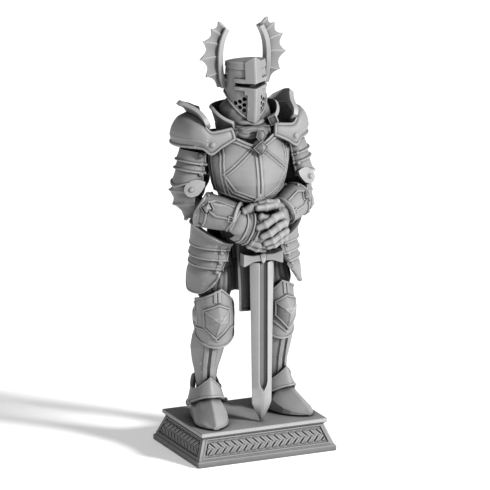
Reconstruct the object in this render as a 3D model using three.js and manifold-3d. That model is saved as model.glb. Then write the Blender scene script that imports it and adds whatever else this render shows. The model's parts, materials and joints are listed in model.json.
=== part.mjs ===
// Armoured knight, a posable display figure leaning on a sword, on a rectangular plinth.
// Millimetres. +Z up, the knight looks along -Y, the figure's right side is -X.
// The origin is the middle of the plinth's underside.
import * as THREE from 'three';
import { mergeVertices } from 'three/addons/utils/BufferGeometryUtils.js';
import Module from 'manifold-3d';

const wasm = await Module();
wasm.setup();

// ---- driving dimensions -------------------------------------------------------------
const GAP = 0.35;             // running gap between neighbours
const RING = 14;              // points round a limb
const PLATE = 1.1;            // thickness of an armour plate

const PLINTH = { length: 76, width: 56, height: 16.5, foot: 3.1, slab: 1.9, flare: 3.55 };
const SOLE_Z = PLINTH.height + GAP;

// Pivot lines: every one runs along X, so a left and a right pivot share one line.
const HIP = { x: 11, y: 2, z: 106 };
const SHOULDER = { x: 26, y: 4.5, z: 159.5 };
const ELBOW = { x: 31.5, y: 2, z: 131 };
const WRIST = { x: 12, y: -17.5, z: 125 };
const NECK = { y: -1, z: 172 };
// The left leg stands a little further back and closer to the middle.
const KNEES = { right: { x: -19.7, y: -2, z: 70 }, left: { x: 18.2, y: 0.6, z: 70 } };
const ANKLES = { right: { x: -20, y: 3, z: 35 }, left: { x: 16.6, y: 4.8, z: 35 } };
const TOE_OUT = { right: 9, left: 17 };      // degrees

const TORSO_Y = -5;
const SWORD = { x: 1.8, y: -16.6, guardZ: 102.4, guardHalf: 11.6, halfThick: 2.5 };
const GRIP = { radius: 2.2, top: 119, pommel: 3 };
const PIN = { radius: 1.4, bore: 1.75 };

// ---- vectors and solids ---------------------------------------------------------------
const vec = (x, y, z) => new THREE.Vector3(x, y, z);
const lerp = THREE.MathUtils.lerp;
const radians = THREE.MathUtils.degToRad;
const sideName = (s) => (s < 0 ? 'right' : 'left');
const sided = (s, p) => vec(s * p.x, p.y, p.z);
const kneeOf = (s) => KNEES[sideName(s)];
const ankleOf = (s) => ANKLES[sideName(s)];

function weld(geometry) {
  geometry.deleteAttribute('normal');
  geometry.deleteAttribute('uv');
  return mergeVertices(geometry, 1e-4);
}

function signedVolume(geometry) {
  const p = geometry.attributes.position;
  const index = geometry.index.array;
  const [a, b, c] = [vec(0, 0, 0), vec(0, 0, 0), vec(0, 0, 0)];
  let total = 0;
  for (let i = 0; i < index.length; i += 3) {
    a.fromBufferAttribute(p, index[i]);
    b.fromBufferAttribute(p, index[i + 1]);
    c.fromBufferAttribute(p, index[i + 2]);
    total += a.dot(b.clone().cross(c)) / 6;
  }
  return total;
}

// A welded copy whose faces point out.
function outward(geometry) {
  const welded = weld(geometry);
  if (signedVolume(welded) < 0) {
    const index = welded.index.array;
    for (let i = 0; i < index.length; i += 3) {
      [index[i], index[i + 1]] = [index[i + 1], index[i]];
    }
  }
  return welded;
}

// Triangles that fill a ring of points, wound the way the ring runs.
function capTriangles(points) {
  const normal = vec(0, 0, 0);
  points.forEach((p, i) => normal.add(p.clone().cross(points[(i + 1) % points.length])));
  const helper = Math.abs(normal.x) > Math.abs(normal.z) ? vec(0, 0, 1) : vec(1, 0, 0);
  const right = helper.clone().cross(normal).normalize();
  const up = normal.clone().cross(right).normalize();
  const flat = points.map((p) => new THREE.Vector2(p.dot(right), p.dot(up)));
  return THREE.ShapeUtils.triangulateShape(flat, []);
}

// Closed skin over a row of rings that all have the same number of points.
function loft(sections) {
  const count = sections[0].length;
  const last = (sections.length - 1) * count;
  const index = [];
  for (let row = 0; row < last; row += count) {
    for (let i = 0; i < count; i += 1) {
      const next = (i + 1) % count;
      index.push(row + i, row + next, row + count + next);
      index.push(row + i, row + count + next, row + count + i);
    }
  }
  capTriangles(sections[0]).forEach(([a, b, c]) => index.push(c, b, a));
  capTriangles(sections.at(-1)).forEach(([a, b, c]) => index.push(last + a, last + b, last + c));
  const geometry = new THREE.BufferGeometry().setFromPoints(sections.flat());
  geometry.setIndex(index);
  return outward(geometry);
}

function toManifold(geometry) {
  const vertProperties = new Float32Array(geometry.attributes.position.array);
  const triVerts = new Uint32Array(geometry.index.array);
  return new wasm.Manifold(new wasm.Mesh({ numProp: 3, vertProperties, triVerts }));
}

function fromManifold(manifold) {
  const mesh = manifold.getMesh();
  const geometry = new THREE.BufferGeometry();
  geometry.setAttribute('position', new THREE.BufferAttribute(new Float32Array(mesh.vertProperties), 3));
  geometry.setIndex(new THREE.BufferAttribute(new Uint32Array(mesh.triVerts), 1));
  return geometry;
}

function join(first, ...others) {
  return fromManifold(others.reduce((sum, g) => sum.add(toManifold(g)), toManifold(first)));
}

function cut(first, ...tools) {
  return fromManifold(tools.reduce((sum, g) => sum.subtract(toManifold(g)), toManifold(first)));
}

// Closed ring of points on a superellipse: power 2 is an ellipse, higher is boxier.
function ring(centre, across, along, count = RING, power = 2) {
  const points = [];
  for (let i = 0; i < count; i += 1) {
    const angle = (i / count) * Math.PI * 2;
    const c = Math.cos(angle);
    const s = Math.sin(angle);
    const x = Math.sign(c) * Math.abs(c) ** (2 / power);
    const y = Math.sign(s) * Math.abs(s) ** (2 / power);
    points.push(centre.clone().addScaledVector(across, x).addScaledVector(along, y));
  }
  return points;
}

// Level rings: rows of [z, half width, half depth, centre x, centre y].
function stack(rows, count = RING, power = 2) {
  return loft(rows.map(([z, a, b, x, y]) => ring(vec(x, y, z), vec(a, 0, 0), vec(0, b, 0), count, power)));
}

// Two directions square to an axis; the first lies as near to `toward` as it can.
function crossAxes(axis, toward) {
  const second = axis.clone().cross(toward).normalize();
  const first = second.clone().cross(axis).normalize();
  return [first, second];
}

// Round solid along a line: rows of [t, first radius, second radius].
function limb(from, to, toward, rows, count = RING) {
  const axis = to.clone().sub(from).normalize();
  const [u, v] = crossAxes(axis, toward);
  return loft(rows.map(([t, a, b]) => ring(
    from.clone().lerp(to, t), u.clone().multiplyScalar(a), v.clone().multiplyScalar(b), count)));
}

// Bent plate: outer(u, v) and inner(u, v) give its two faces for u and v from 0 to 1.
function plate(outer, inner, stepsU, stepsV) {
  const sections = [];
  for (let i = 0; i <= stepsU; i += 1) {
    const section = [];
    for (let j = 0; j <= stepsV; j += 1) {
      section.push(outer(i / stepsU, j / stepsV));
    }
    for (let j = stepsV; j >= 0; j -= 1) {
      section.push(inner(i / stepsU, j / stepsV));
    }
    sections.push(section);
  }
  return loft(sections);
}

// Plate wrapped round a line, from angle a0 to a1; radius(t, angle) is its outer radius.
function wrap(from, to, toward, [a0, a1], radius, thickness, stepsU, stepsV) {
  const axis = to.clone().sub(from).normalize();
  const [u, v] = crossAxes(axis, toward);
  const face = (inset) => (s, t) => {
    const angle = lerp(a0, a1, s);
    const r = radius(t, angle) - inset;
    return from.clone().lerp(to, t)
      .addScaledVector(u, Math.cos(angle) * r)
      .addScaledVector(v, Math.sin(angle) * r);
  };
  return plate(face(0), face(thickness), stepsU, stepsV);
}

// Cylinder along X.
function barX(x0, x1, y, z, radius, count = 16) {
  const geometry = new THREE.CylinderGeometry(radius, radius, x1 - x0, count);
  geometry.rotateZ(Math.PI / 2);
  geometry.translate((x0 + x1) / 2, y, z);
  return outward(geometry);
}

// Cylinder along Z.
function barZ(x, y, z0, z1, radius, count = 16) {
  const geometry = new THREE.CylinderGeometry(radius, radius, z1 - z0, count);
  geometry.rotateX(Math.PI / 2);
  geometry.translate(x, y, (z0 + z1) / 2);
  return outward(geometry);
}

// Closed profile in the XZ plane, given thickness along Y.
function slabXZ(points, y0, y1) {
  const shape = new THREE.Shape(points.map(([x, z]) => new THREE.Vector2(x, z)));
  const geometry = new THREE.ExtrudeGeometry(shape, { depth: y1 - y0, bevelEnabled: false });
  geometry.rotateX(Math.PI / 2);
  geometry.translate(0, y1, 0);
  return outward(geometry);
}

// ---- materials ------------------------------------------------------------------------
function resin(shade = 0x9a9a9a) {
  return new THREE.MeshStandardMaterial({ color: shade, roughness: 0.62, metalness: 0 });
}

const group = new THREE.Group();

function add(name, geometry, material = resin()) {
  const mesh = new THREE.Mesh(geometry, material);
  mesh.name = name;
  group.add(mesh);
}

// ---- plinth -----------------------------------------------------------------------------
function plinth() {
  const corner = (inset, z) => {
    const x = PLINTH.length / 2 - inset;
    const y = PLINTH.width / 2 - inset;
    return [vec(x, y, z), vec(-x, y, z), vec(-x, -y, z), vec(x, -y, z)];
  };
  const top = PLINTH.height;
  return loft([
    corner(0, 0),
    corner(0, PLINTH.foot),
    corner(0.9, PLINTH.foot + 0.3),
    corner(PLINTH.flare + 0.9, top - PLINTH.slab - 1.2),
    corner(PLINTH.flare, top - PLINTH.slab),
    corner(PLINTH.flare, top),
  ]);
}

// ---- hips and skirt -----------------------------------------------------------------------
const HIP_CORE = { half: 9.2, radius: 7.6 };

function pelvis() {
  const hub = barX(-HIP_CORE.half, HIP_CORE.half, HIP.y, HIP.z, HIP_CORE.radius, 16);
  const waist = stack([
    [HIP.z, 8.6, 6.4, 0, HIP.y],
    [114.8, 8.8, 7, 0, 0.5],
    [116.4, 11.4, 7.6, 0, -0.5],
    [122.5, 11.4, 7.8, 0, -1.5],
  ], 16, 2.4);
  const socket = barZ(0, -1.5, 110, 130, 2.6);
  return cut(join(hub, waist), hipBore(-30, 30), socket);
}

function hipBore(x0, x1) {
  return barX(x0, x1, HIP.y, HIP.z, PIN.bore, 8);
}

const BELT = { z0: 115.8, z1: 119.2, a: 14.6, b: 9.8, y: -0.6 };

function belt() {
  const band = (grow, z0, z1) => stack([
    [z0, BELT.a + grow, BELT.b + grow, 0, BELT.y],
    [z1, BELT.a + grow, BELT.b + grow, 0, BELT.y],
  ], 24, 2.4);
  return cut(band(0, BELT.z0, BELT.z1), band(-1.6, BELT.z0 - 1, BELT.z1 + 1));
}

const TABARD = { half: 9, top: 114.6, bottom: 74, front: -12.5, thick: 1.1 };

function tabardFront() {
  const face = (y) => (u, v) => {
    const z = lerp(TABARD.top, TABARD.bottom, v);
    const half = lerp(TABARD.half - 1, TABARD.half, v);
    const drape = 0.5 * Math.cos(u * Math.PI * 4) * v;
    return vec(lerp(-half, half, u), y + drape, z);
  };
  return plate(face(TABARD.front), face(TABARD.front + TABARD.thick), 8, 3);
}

const SKIRT = { half: 19, y: 13.2, top: 114.8, bottom: 78, thick: 0.9 };

// The cloth behind the thighs, hanging in soft folds.
function skirtBack() {
  const face = (inset) => (u, v) => {
    const side = lerp(-1, 1, u);
    const fold = 0.35 * (1 + Math.cos(u * Math.PI * 10)) * v;
    const half = SKIRT.half * lerp(0.8, 1, v);
    return vec(side * half, SKIRT.y - 1.2 * side ** 2 + fold - inset, lerp(SKIRT.top, SKIRT.bottom, v));
  };
  return plate(face(0), face(SKIRT.thick), 20, 2);
}

// ---- legs -------------------------------------------------------------------------------
const THIGH = { top: 97, bottom: 80.5 };

// Middle of the thigh at a height, on the line from hip to knee.
function thighAt(s, z) {
  const knee = kneeOf(s);
  const t = (HIP.z - z) / (HIP.z - knee.z);
  return { x: lerp(s * HIP.x, knee.x, t), y: lerp(HIP.y, knee.y, t) };
}

function thigh(s) {
  const inner = HIP_CORE.half + GAP;
  const [x0, x1] = [s * inner, s * (inner + 9.6)].sort((a, b) => a - b);
  const hub = barX(x0, x1, HIP.y, HIP.z, 8.4, 16);
  const row = (z, a, b, dx, dy) => {
    const middle = thighAt(s, z);
    return [z, a, b, middle.x + s * dx, middle.y + dy];
  };
  const body = stack([
    row(THIGH.top + 7, 6, 7.4, 3.9, 0),
    row(THIGH.top + 1, 6.8, 7.9, 4.0, 0.2),
    row(93, 8.0, 8.0, 1.4, 0.6),
    row(89, 8.4, 8.2, 1.0, 0.8),
    row(84.6, 6.1, 6.4, 0.4, 0.8),
    row(THIGH.bottom, 5.6, 6.2, 0.2, 0.6),
  ]);
  return cut(join(hub, body), hipBore(-30, 30));
}

function hipRod() {
  return barX(-18, 18, HIP.y, HIP.z, PIN.radius, 8);
}

const POLEYN = { top: 82.6, bottom: 58.5 };

// Knee cop: a ridged shield in front of the knee with a lug on each side for the pin.
function poleyn(s) {
  const knee = kneeOf(s);
  const cx = knee.x;
  const rows = [
    [POLEYN.top, 8.8, 9.6, 0],
    [78, 9.2, 10.8, 0.6],
    [72, 9.2, 12.4, 3.6],
    [65, 9.0, 11.4, 1.8],
    [POLEYN.bottom, 9.0, 10.6, 0],
  ];
  const face = (inset) => (u, v) => {
    const k = v * (rows.length - 1);
    const i = Math.min(rows.length - 2, Math.floor(k));
    const f = k - i;
    const z = lerp(rows[i][0], rows[i + 1][0], f);
    const a = lerp(rows[i][1], rows[i + 1][1], f) - inset * 0.9;
    const b = lerp(rows[i][2], rows[i + 1][2], f) - inset;
    const ridge = lerp(rows[i][3], rows[i + 1][3], f) * 0.5;
    const angle = lerp(radians(188), radians(352), u);
    const peak = Math.max(0, -Math.sin(angle)) ** 6 * ridge;
    return vec(cx + a * Math.cos(angle), knee.y + b * Math.sin(angle) - peak, z);
  };
  const shield = plate(face(0), face(1.2), 10, 4);
  const lug = (side) => {
    const x0 = cx + side * (KNEE_HALF + GAP);
    const x1 = cx + side * (KNEE_HALF + GAP + 2.3);
    return barX(Math.min(x0, x1), Math.max(x0, x1), knee.y, knee.z, 5.2, 12);
  };
  const bore = barX(cx - 20, cx + 20, knee.y, knee.z, PIN.bore, 8);
  return cut(join(shield, lug(-1), lug(1)), bore);
}

const KNEE_HALF = 6;

function kneePin(s) {
  const knee = kneeOf(s);
  const half = KNEE_HALF + 1.2;
  return barX(knee.x - half, knee.x + half, knee.y, knee.z, PIN.radius, 8);
}

// Lower leg: a knuckle on the knee line, a full calf and a slim ankle.
function greave(s) {
  const knee = kneeOf(s);
  const ankle = ankleOf(s);
  const knuckle = barX(knee.x - KNEE_HALF, knee.x + KNEE_HALF, knee.y, knee.z, 5.6, 16);
  const row = (z, a, b, swell) => {
    const t = Math.min(1, (knee.z - z) / (knee.z - 44));
    return [z, a, b, lerp(knee.x, ankle.x, t), lerp(knee.y, ankle.y, t) + swell];
  };
  const shin = stack([
    row(68, 5.6, 6.4, -0.1),
    row(64.4, 5.8, 7, -0.1),
    row(60.5, 7.0, 7.6, 0.2),
    row(54, 7.9, 8.8, 0.6),
    row(46.8, 6.5, 7.2, 0),
    row(42, 5.4, 5.9, 0),
    row(31.5, 4.4, 4.6, 0),
  ]);
  return cut(join(knuckle, shin), barX(knee.x - 20, knee.x + 20, knee.y, knee.z, PIN.bore, 8));
}

// Point in a foot's own frame: `side` outward, `ahead` towards the toe, turned out at the ankle.
function footPoint(s, side, ahead, z) {
  const turn = radians(TOE_OUT[sideName(s)]);
  const x = side * Math.cos(turn) + ahead * Math.sin(turn);
  const y = side * Math.sin(turn) - ahead * Math.cos(turn);
  const ankle = ankleOf(s);
  return vec(ankle.x + s * x, ankle.y + y, z);
}

// Pointed cuff in front of the ankle, with a lower edge that rises over the instep.
function ankleGuard(s) {
  const face = (inset) => (u, v) => {
    const a = lerp(-120, 120, u);
    const front = Math.cos(radians(a));
    const zTop = lerp(34.5, 40.5, Math.max(0, front) ** 3);
    const zLow = lerp(25.5, 31.5, Math.max(0, front) ** 2);
    const z = lerp(zTop, zLow, v);
    const r = lerp(8.2, 9.6, v ** 1.4) - inset;
    const ahead = front * r * 1.02 + (front > 0 ? v * 1.2 * front : 0);
    return footPoint(s, Math.sin(radians(a)) * r, ahead, z);
  };
  return plate(face(0), face(1.1), 14, 4);
}

// Armoured shoe: blunt ridged toe cap, hollow under the ankle guard.
function sabaton(s) {
  const sole = SOLE_Z;
  const section = (ahead, half, top, shoulder, low = 0) => [
    footPoint(s, -half, ahead, sole + low),
    footPoint(s, -half * 0.92, ahead, sole + shoulder * 0.6),
    footPoint(s, -half * 0.5, ahead, sole + lerp(shoulder, top, 0.55)),
    footPoint(s, 0, ahead, sole + top),
    footPoint(s, half * 0.5, ahead, sole + lerp(shoulder, top, 0.55)),
    footPoint(s, half * 0.92, ahead, sole + shoulder * 0.6),
    footPoint(s, half, ahead, sole + low),
  ];
  return loft([
    section(-8.0, 3.4, 7, 5, 1.8),
    section(-6.2, 5, 9, 7, 0.9),
    section(-4, 5.8, 10.5, 8, 0),
    section(3, 6.4, 10.8, 8.6),
    section(8.5, 6.9, 12.2, 8.4),
    section(12.5, 8.2, 11.2, 6.8),
    section(18, 7.2, 8, 4.2),
    section(25.4, 1.6, 1.8, 1.2, 0.4),
  ]);
}

function anklePin(s) {
  const at = footPoint(s, 0, 0, 0);
  return barZ(at.x, at.y, SOLE_Z + 11.4, 31.1, 2, 10);
}

// ---- tassets: four overlapping lames that hang from the belt over each hip ----------------
const TASSET = { top: 117, bottom: 84, x: 13, y: 0.5, r: 15.4 };

function tasset(s) {
  const from = vec(s * TASSET.x, TASSET.y, TASSET.top);
  const to = vec(s * (TASSET.x + 0.6), TASSET.y, TASSET.bottom);
  const lames = 4;
  const face = (inset) => (u, v) => {
    const angle = lerp(radians(-85), radians(34), u);
    const step = v < 0.02 ? 0 : (v * lames) % 1;
    const flare = v < 0.22 ? (0.22 - v) * 9 : 0;
    const round = 1 - 0.16 * v ** 3 * Math.abs(2 * u - 1) ** 2;
    const r = TASSET.r + 1.2 * v + 0.5 * step + flare - inset;
    const drop = lerp(0, to.z - from.z, v * round) - (v < 0.1 ? Math.max(0, 1 - 1.8 * u) * 3.4 : 0);
    return vec(
      s * (TASSET.x + r * Math.cos(angle) * 1.02),
      TASSET.y + r * Math.sin(angle) * 0.88,
      from.z + drop);
  };
  return plate(face(0), face(1.2), 8, 8);
}

// ---- torso --------------------------------------------------------------------------------
// Rows of [z, half width, front depth, back depth] of the plates' outside, about TORSO_Y.
const CUIRASS = [
  [130.6, 12.2, 10.2, 9.0],
  [134, 14.2, 11.6, 10.2],
  [140, 16.6, 12.0, 11.6],
  [148, 18.2, 11.2, 12.4],
  [155, 18.6, 9.4, 12.6],
  [160, 17.8, 7.6, 12.2],
];

function cuirassAt(z) {
  const last = CUIRASS.length - 2;
  let i = 0;
  while (i < last && z > CUIRASS[i + 1][0]) {
    i += 1;
  }
  const f = (z - CUIRASS[i][0]) / (CUIRASS[i + 1][0] - CUIRASS[i][0]);
  return CUIRASS[i].map((value, k) => lerp(value, CUIRASS[i + 1][k], f));
}

function torsoPoint(angle, z, inset) {
  const [, half, front, back] = cuirassAt(z);
  const depth = Math.sin(angle) < 0 ? front : back;
  const ridge = Math.max(0, -Math.sin(angle)) ** 10 * 0.9;
  const boxy = 2 / 2.3;
  const c = Math.cos(angle);
  const s = Math.sin(angle);
  return vec(
    Math.sign(c) * Math.abs(c) ** boxy * (half - inset),
    TORSO_Y + Math.sign(s) * Math.abs(s) ** boxy * (depth - inset) - ridge,
    z);
}

function cuirassPlate(from, to, top) {
  const face = (inset) => (u, v) => {
    const angle = lerp(from, to, u);
    return torsoPoint(angle, lerp(CUIRASS[0][0], top, v), inset);
  };
  const armholes = barX(-30, 30, SHOULDER.y, SHOULDER.z, ARM_STUB + 1.2, 16);
  return cut(plate(face(0), face(PLATE), 12, 5), armholes);
}

const ARM_STUB = 5.4;
const SIDE_SPLIT = radians(4);

function breastplate() {
  return cuirassPlate(Math.PI + SIDE_SPLIT, 2 * Math.PI - SIDE_SPLIT, 159.5);
}

function backplate() {
  return cuirassPlate(SIDE_SPLIT, Math.PI - SIDE_SPLIT, 159.5);
}

// The padded body under the plates, with the socket for the neck and the shoulder pins.
function torsoCore() {
  const inset = PLATE + GAP + 0.15;
  const section = (z) => {
    const points = [];
    for (let i = 0; i < 20; i += 1) {
      points.push(torsoPoint((i / 20) * Math.PI * 2, z, inset));
    }
    return points;
  };
  const level = (z, a, b, y) => ring(vec(0, y, z), vec(a, 0, 0), vec(0, b, 0), 20, 2.3);
  const body = loft([
    level(123, 11.4, 7.8, -1.5),
    level(128.5, 10.8, 8.2, -3.4),
    section(131),
    section(140),
    section(150),
    section(158.5),
    level(162.5, 13.6, 8.0, -1.8),
    level(166, 9, 7.4, -1.2),
  ]);
  const shoulders = barX(-21, 21, SHOULDER.y, SHOULDER.z, ARM_STUB, 16);
  const pins = barX(-40, 40, SHOULDER.y, SHOULDER.z, PIN.bore, 8);
  const neck = barZ(0, NECK.y, 161, 170, 3.3, 16);
  const waist = barZ(0, -1.5, 120, 132, 2.6, 16);
  return cut(join(body, shoulders), pins, neck, waist);
}

function waistPost() {
  return barZ(0, -1.5, 112, 130, 2.2, 16);
}

function shoulderPin(s) {
  const x = [s * 14, s * 29].sort((a, b) => a - b);
  return barX(x[0], x[1], SHOULDER.y, SHOULDER.z, PIN.radius, 8);
}

// Collar plate round the neck: low and pointed in front, tall behind.
function gorget() {
  const face = (inset) => (u, v) => {
    const angle = lerp(radians(-52), radians(232), u);
    const front = Math.max(0, -Math.sin(angle));
    const top = 177 - 6.5 * front ** 1.2;
    const low = 167.6;
    const a = lerp(14.6, 16.6, v) - inset;
    const b = lerp(11.6, 13.4, v) - inset;
    return vec(a * Math.cos(angle), 0.4 + b * Math.sin(angle), lerp(low, top, v));
  };
  return plate(face(0), face(PLATE), 18, 3);
}

// Breast collar: the yoke that the gorget stands on, with the clasp at its point.
function yoke() {
  const outer = stack([
    [160.4, 17.4, 11.2, 0, -1.8],
    [163.6, 15.8, 11.2, 0, -1.4],
    [167.1, 12.6, 11.4, 0, -0.6],
  ], 20, 2.3);
  const inner = stack([
    [159, 16.4, 10.4, 0, -1.8],
    [163, 14.6, 9.7, 0, -1.6],
    [166.2, 10.4, 8.6, 0, -1.2],
    [168, 10.4, 8.6, 0, -1.2],
  ], 20, 2.3);
  const clasp = slabXZ([[-3, 163.6], [0, 160.6], [3, 163.6], [0, 167]], -15.4, -11.5);
  return cut(join(outer, clasp), inner,
    barX(-25, 25, SHOULDER.y, SHOULDER.z, ARM_STUB + 1, 16));
}

// ---- head ----------------------------------------------------------------------------------
function neckBall() {
  const stem = barZ(0, NECK.y, 162, 171, 2.9, 16);
  const ball = new THREE.SphereGeometry(4, 12, 8);
  ball.translate(0, NECK.y, NECK.z + 1);
  return join(stem, outward(ball));
}

const HELM = { half: 10, y: -1.4, crown: 199.5 };

// Great helm: flat-sided, with a keel down the front and a blunt crown; hollow for the neck ball.
function helm() {
  const shapeRing = (z, half, front, back, rise) => {
    const points = [];
    for (let i = 0; i < 16; i += 1) {
      const angle = (i / 16) * Math.PI * 2 - Math.PI / 2;
      const c = Math.cos(angle);
      const s = Math.sin(angle);
      const keel = Math.max(0, -s) ** 8 * 1.6;
      const depth = s < 0 ? front : back;
      const back0 = (1 + s) / 2;
      points.push(vec(half * c, HELM.y + depth * s - keel, z + rise * back0));
    }
    return points;
  };
  const shell = loft([
    shapeRing(170.8, 3.6, 9.4, 2, 10),
    shapeRing(172.6, 7.2, 9.9, 6.4, 7.6),
    shapeRing(176, 9.2, 10.2, 9.6, 4.8),
    shapeRing(182, 10, 10.4, 10.4, 1.4),
    shapeRing(190, 10, 10.2, 10.4, 0),
    shapeRing(196, 9.2, 9.4, 9.6, 0),
    shapeRing(198.6, 7.2, 7.6, 7.6, 0),
    shapeRing(199.6, 3, 3.4, 3.4, 0),
  ]);
  const throat = stack([
    [160, 7, 7, 0, NECK.y],
    [178, 7, 7, 0, NECK.y],
    [181, 4.6, 4.6, 0, NECK.y],
  ]);
  const slit = slabXZ([[-9, 188.8], [9, 188.8], [9, 190.2], [-9, 190.2]], -20, -7.4);
  return cut(shell, throat, slit);
}

const WING = { y: 2, spineDepth: 4.6, spineWidth: 2.5, web: 1.2 };

// Middle line of a wing's spine: up from the side of the helm, curling back in at the tip.
const WING_SPINE = [[11.2, 187], [13, 193.5], [13.3, 200], [12.9, 206], [11.2, 212], [8.9, 216.4]];
// Outer edge of the web, from the lowest rib tip to the highest, with the hollows between.
const WING_EDGE = [
  [15, 187.2], [17, 190.5], [19.8, 192.4], [19.1, 196.5], [22.4, 200.9], [20.1, 204.8],
  [20.5, 209.3], [17.6, 212.4], [16.5, 215.7], [14.6, 217], [13.4, 219.4]];

// Crest wing: a square curved spine carrying a scalloped web on its outside.
function crestWing(s) {
  const curve = new THREE.CatmullRomCurve3(WING_SPINE.map(([x, z]) => vec(x, 0, z)));
  const sideOf = (t, offset) => {
    const p = curve.getPoint(t);
    const along = curve.getTangent(t);
    return [s * (p.x + offset * along.z), p.z - offset * along.x];
  };
  const steps = 8;
  const row = (offset) => Array.from({ length: steps + 1 }, (_, i) => sideOf(i / steps, offset));
  const half = WING.spineWidth / 2;
  const spine = slabXZ(row(half).concat(row(-half).reverse()),
    WING.y - WING.spineDepth / 2, WING.y + WING.spineDepth / 2);
  const edge = WING_EDGE.map(([x, z]) => [s * x, z]);
  const web = slabXZ(edge.concat(row(0).reverse()), WING.y - WING.web / 2, WING.y + WING.web / 2);
  return join(spine, web);
}

// ---- arms -----------------------------------------------------------------------------------
function upperArm(s) {
  const x = [s * (SHOULDER.x - 4.2), s * (SHOULDER.x + 3.4)].sort((a, b) => a - b);
  const ball = barX(x[0], x[1], SHOULDER.y, SHOULDER.z, 6, 16);
  const arm = limb(
    vec(s * 27, SHOULDER.y, 158), vec(s * 31, ELBOW.y + 0.4, 138.4), vec(s, 0, 0),
    [[0, 3.8, 4.8], [0.4, 4.8, 5.2], [1, 5.1, 5.2]]);
  return cut(join(ball, arm), barX(-60, 60, SHOULDER.y, SHOULDER.z, PIN.bore, 8));
}

// Overlapping lames on the outside of the upper arm.
function rerebrace(s) {
  const lames = 4;
  return wrap(
    vec(s * 28.7, 3.2, 149.4), vec(s * 31, 2.4, 137.8), vec(s, 0, 0),
    [radians(-112), radians(112)],
    (t) => 6.8 + 0.8 * ((t * lames) % 1) + 0.3 * t,
    1, 8, 8);
}

// Shoulder guard: a dome over the shoulder joint whose front reaches in over the chest.
const PAULDRON = { x: 24, y: 4.2, z: 158.5, rx: 11.9, ry: 14.6, rz: 13.6 };

function pauldron(s) {
  const face = (inset) => (u, v) => {
    const around = lerp(radians(-128), radians(100), u);
    const down = lerp(radians(8), radians(98), v);
    const front = Math.max(0, -Math.sin(around));
    const inward = Math.max(0, -Math.cos(around)) * front;
    const sink = v ** 2 * (-1.2 + 2.6 * front - 12 * inward);
    return vec(
      s * (PAULDRON.x + (PAULDRON.rx - inset) * Math.sin(down) * Math.cos(around) - 1.2 * inward * v),
      PAULDRON.y + (PAULDRON.ry - inset) * Math.sin(down) * Math.sin(around) - 5 * inward * v,
      PAULDRON.z + (PAULDRON.rz - inset) * Math.cos(down) - sink);
  };
  return plate(face(0), face(PLATE), 12, 6);
}

// Upright neck guard on the dome's inner side: a wall that curls round the back of the shoulder.
function neckGuard(s) {
  const line = (points) => new THREE.CatmullRomCurve3(points.map(([x, y, z]) => vec(s * x, y, z)));
  const foot = line([[23.2, -7.6, 172], [24.4, 0, 173.6], [27, 8.6, 173.2], [24.4, 13.4, 173], [19.4, 14.6, 172.6]]);
  const rim = line([[25.2, -8, 175], [26.2, 0.4, 178], [30.6, 13.4, 178.6], [25.6, 16.6, 177], [18.6, 15.6, 174.8]]);
  const face = (inset) => (u, v) => {
    const tangent = foot.getTangent(u);
    const inward = vec(-tangent.y, tangent.x, 0).normalize().multiplyScalar(s * inset);
    return foot.getPoint(u).lerp(rim.getPoint(u), v).add(inward);
  };
  return plate(face(0), face(1.2), 12, 2);
}

// Elbow guard: a round plate on the pivot with a scalloped wing behind it.
function couter(s) {
  const x0 = s * (ELBOW.x + 4.9);
  const x1 = s * (ELBOW.x + 6.1);
  const disc = barX(Math.min(x0, x1), Math.max(x0, x1), ELBOW.y, ELBOW.z, 5.2, 16);
  const face = (dx) => (u, v) => {
    const angle = lerp(radians(40), radians(-96), u);
    const scallop = 1 + 0.06 * Math.cos(u * Math.PI * 6);
    const r = lerp(3.4, 11.4 * scallop, v);
    return vec(
      s * (ELBOW.x + 5.1 + dx + 0.3 * v * (1 - v)),
      ELBOW.y + Math.cos(angle) * r,
      ELBOW.z + Math.sin(angle) * r);
  };
  const wing = plate(face(0.9), face(0), 12, 1);
  const bore = barX(-60, 60, ELBOW.y, ELBOW.z, PIN.bore, 8);
  return cut(join(disc, wing), bore);
}

function elbowPin(s) {
  const x = [s * (ELBOW.x - 3.6), s * (ELBOW.x + 5.8)].sort((a, b) => a - b);
  return barX(x[0], x[1], ELBOW.y, ELBOW.z, PIN.radius, 8);
}

const wristPoint = (s) => sided(s, WRIST);

// Forearm core with its elbow knuckle.
function forearm(s) {
  const x = [s * (ELBOW.x - 4.6), s * (ELBOW.x + 4.5)].sort((a, b) => a - b);
  const knuckle = barX(x[0], x[1], ELBOW.y, ELBOW.z, 4.9, 14);
  const arm = limb(vec(s * (ELBOW.x - 1), ELBOW.y - 1, ELBOW.z), wristPoint(s).add(vec(s * 2, 1.4, 0.4)),
    vec(0, 0, 1), [[0, 4.2, 4.2], [0.5, 4.8, 4.8], [1, 3.8, 3.8]]);
  const bore = barX(-60, 60, ELBOW.y, ELBOW.z, PIN.bore, 8);
  return cut(join(knuckle, arm), bore);
}

// Forearm armour, wide at the elbow and waisted at the wrist.
function vambrace(s) {
  const from = vec(s * 28.4, -3.6, 129.4);
  const to = vec(s * 12.4, -16.6, 125.2);
  const shell = (inset, t0, t1) => limb(from.clone().lerp(to, t0), from.clone().lerp(to, t1), vec(0, 0, 1), [
    [0, 9.3 - inset, 8.8 - inset],
    [0.35, 9.6 - inset, 9 - inset],
    [0.85, 7 - inset, 6.8 - inset],
    [1, 7.3 - inset, 7.1 - inset],
  ], 16);
  return cut(shell(0, 0, 1), shell(1.4, -0.02, 1.02));
}

// ---- hands ----------------------------------------------------------------------------------
const HAND = { low: 106.4, split: 119.4, top: 130.2 };

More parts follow.
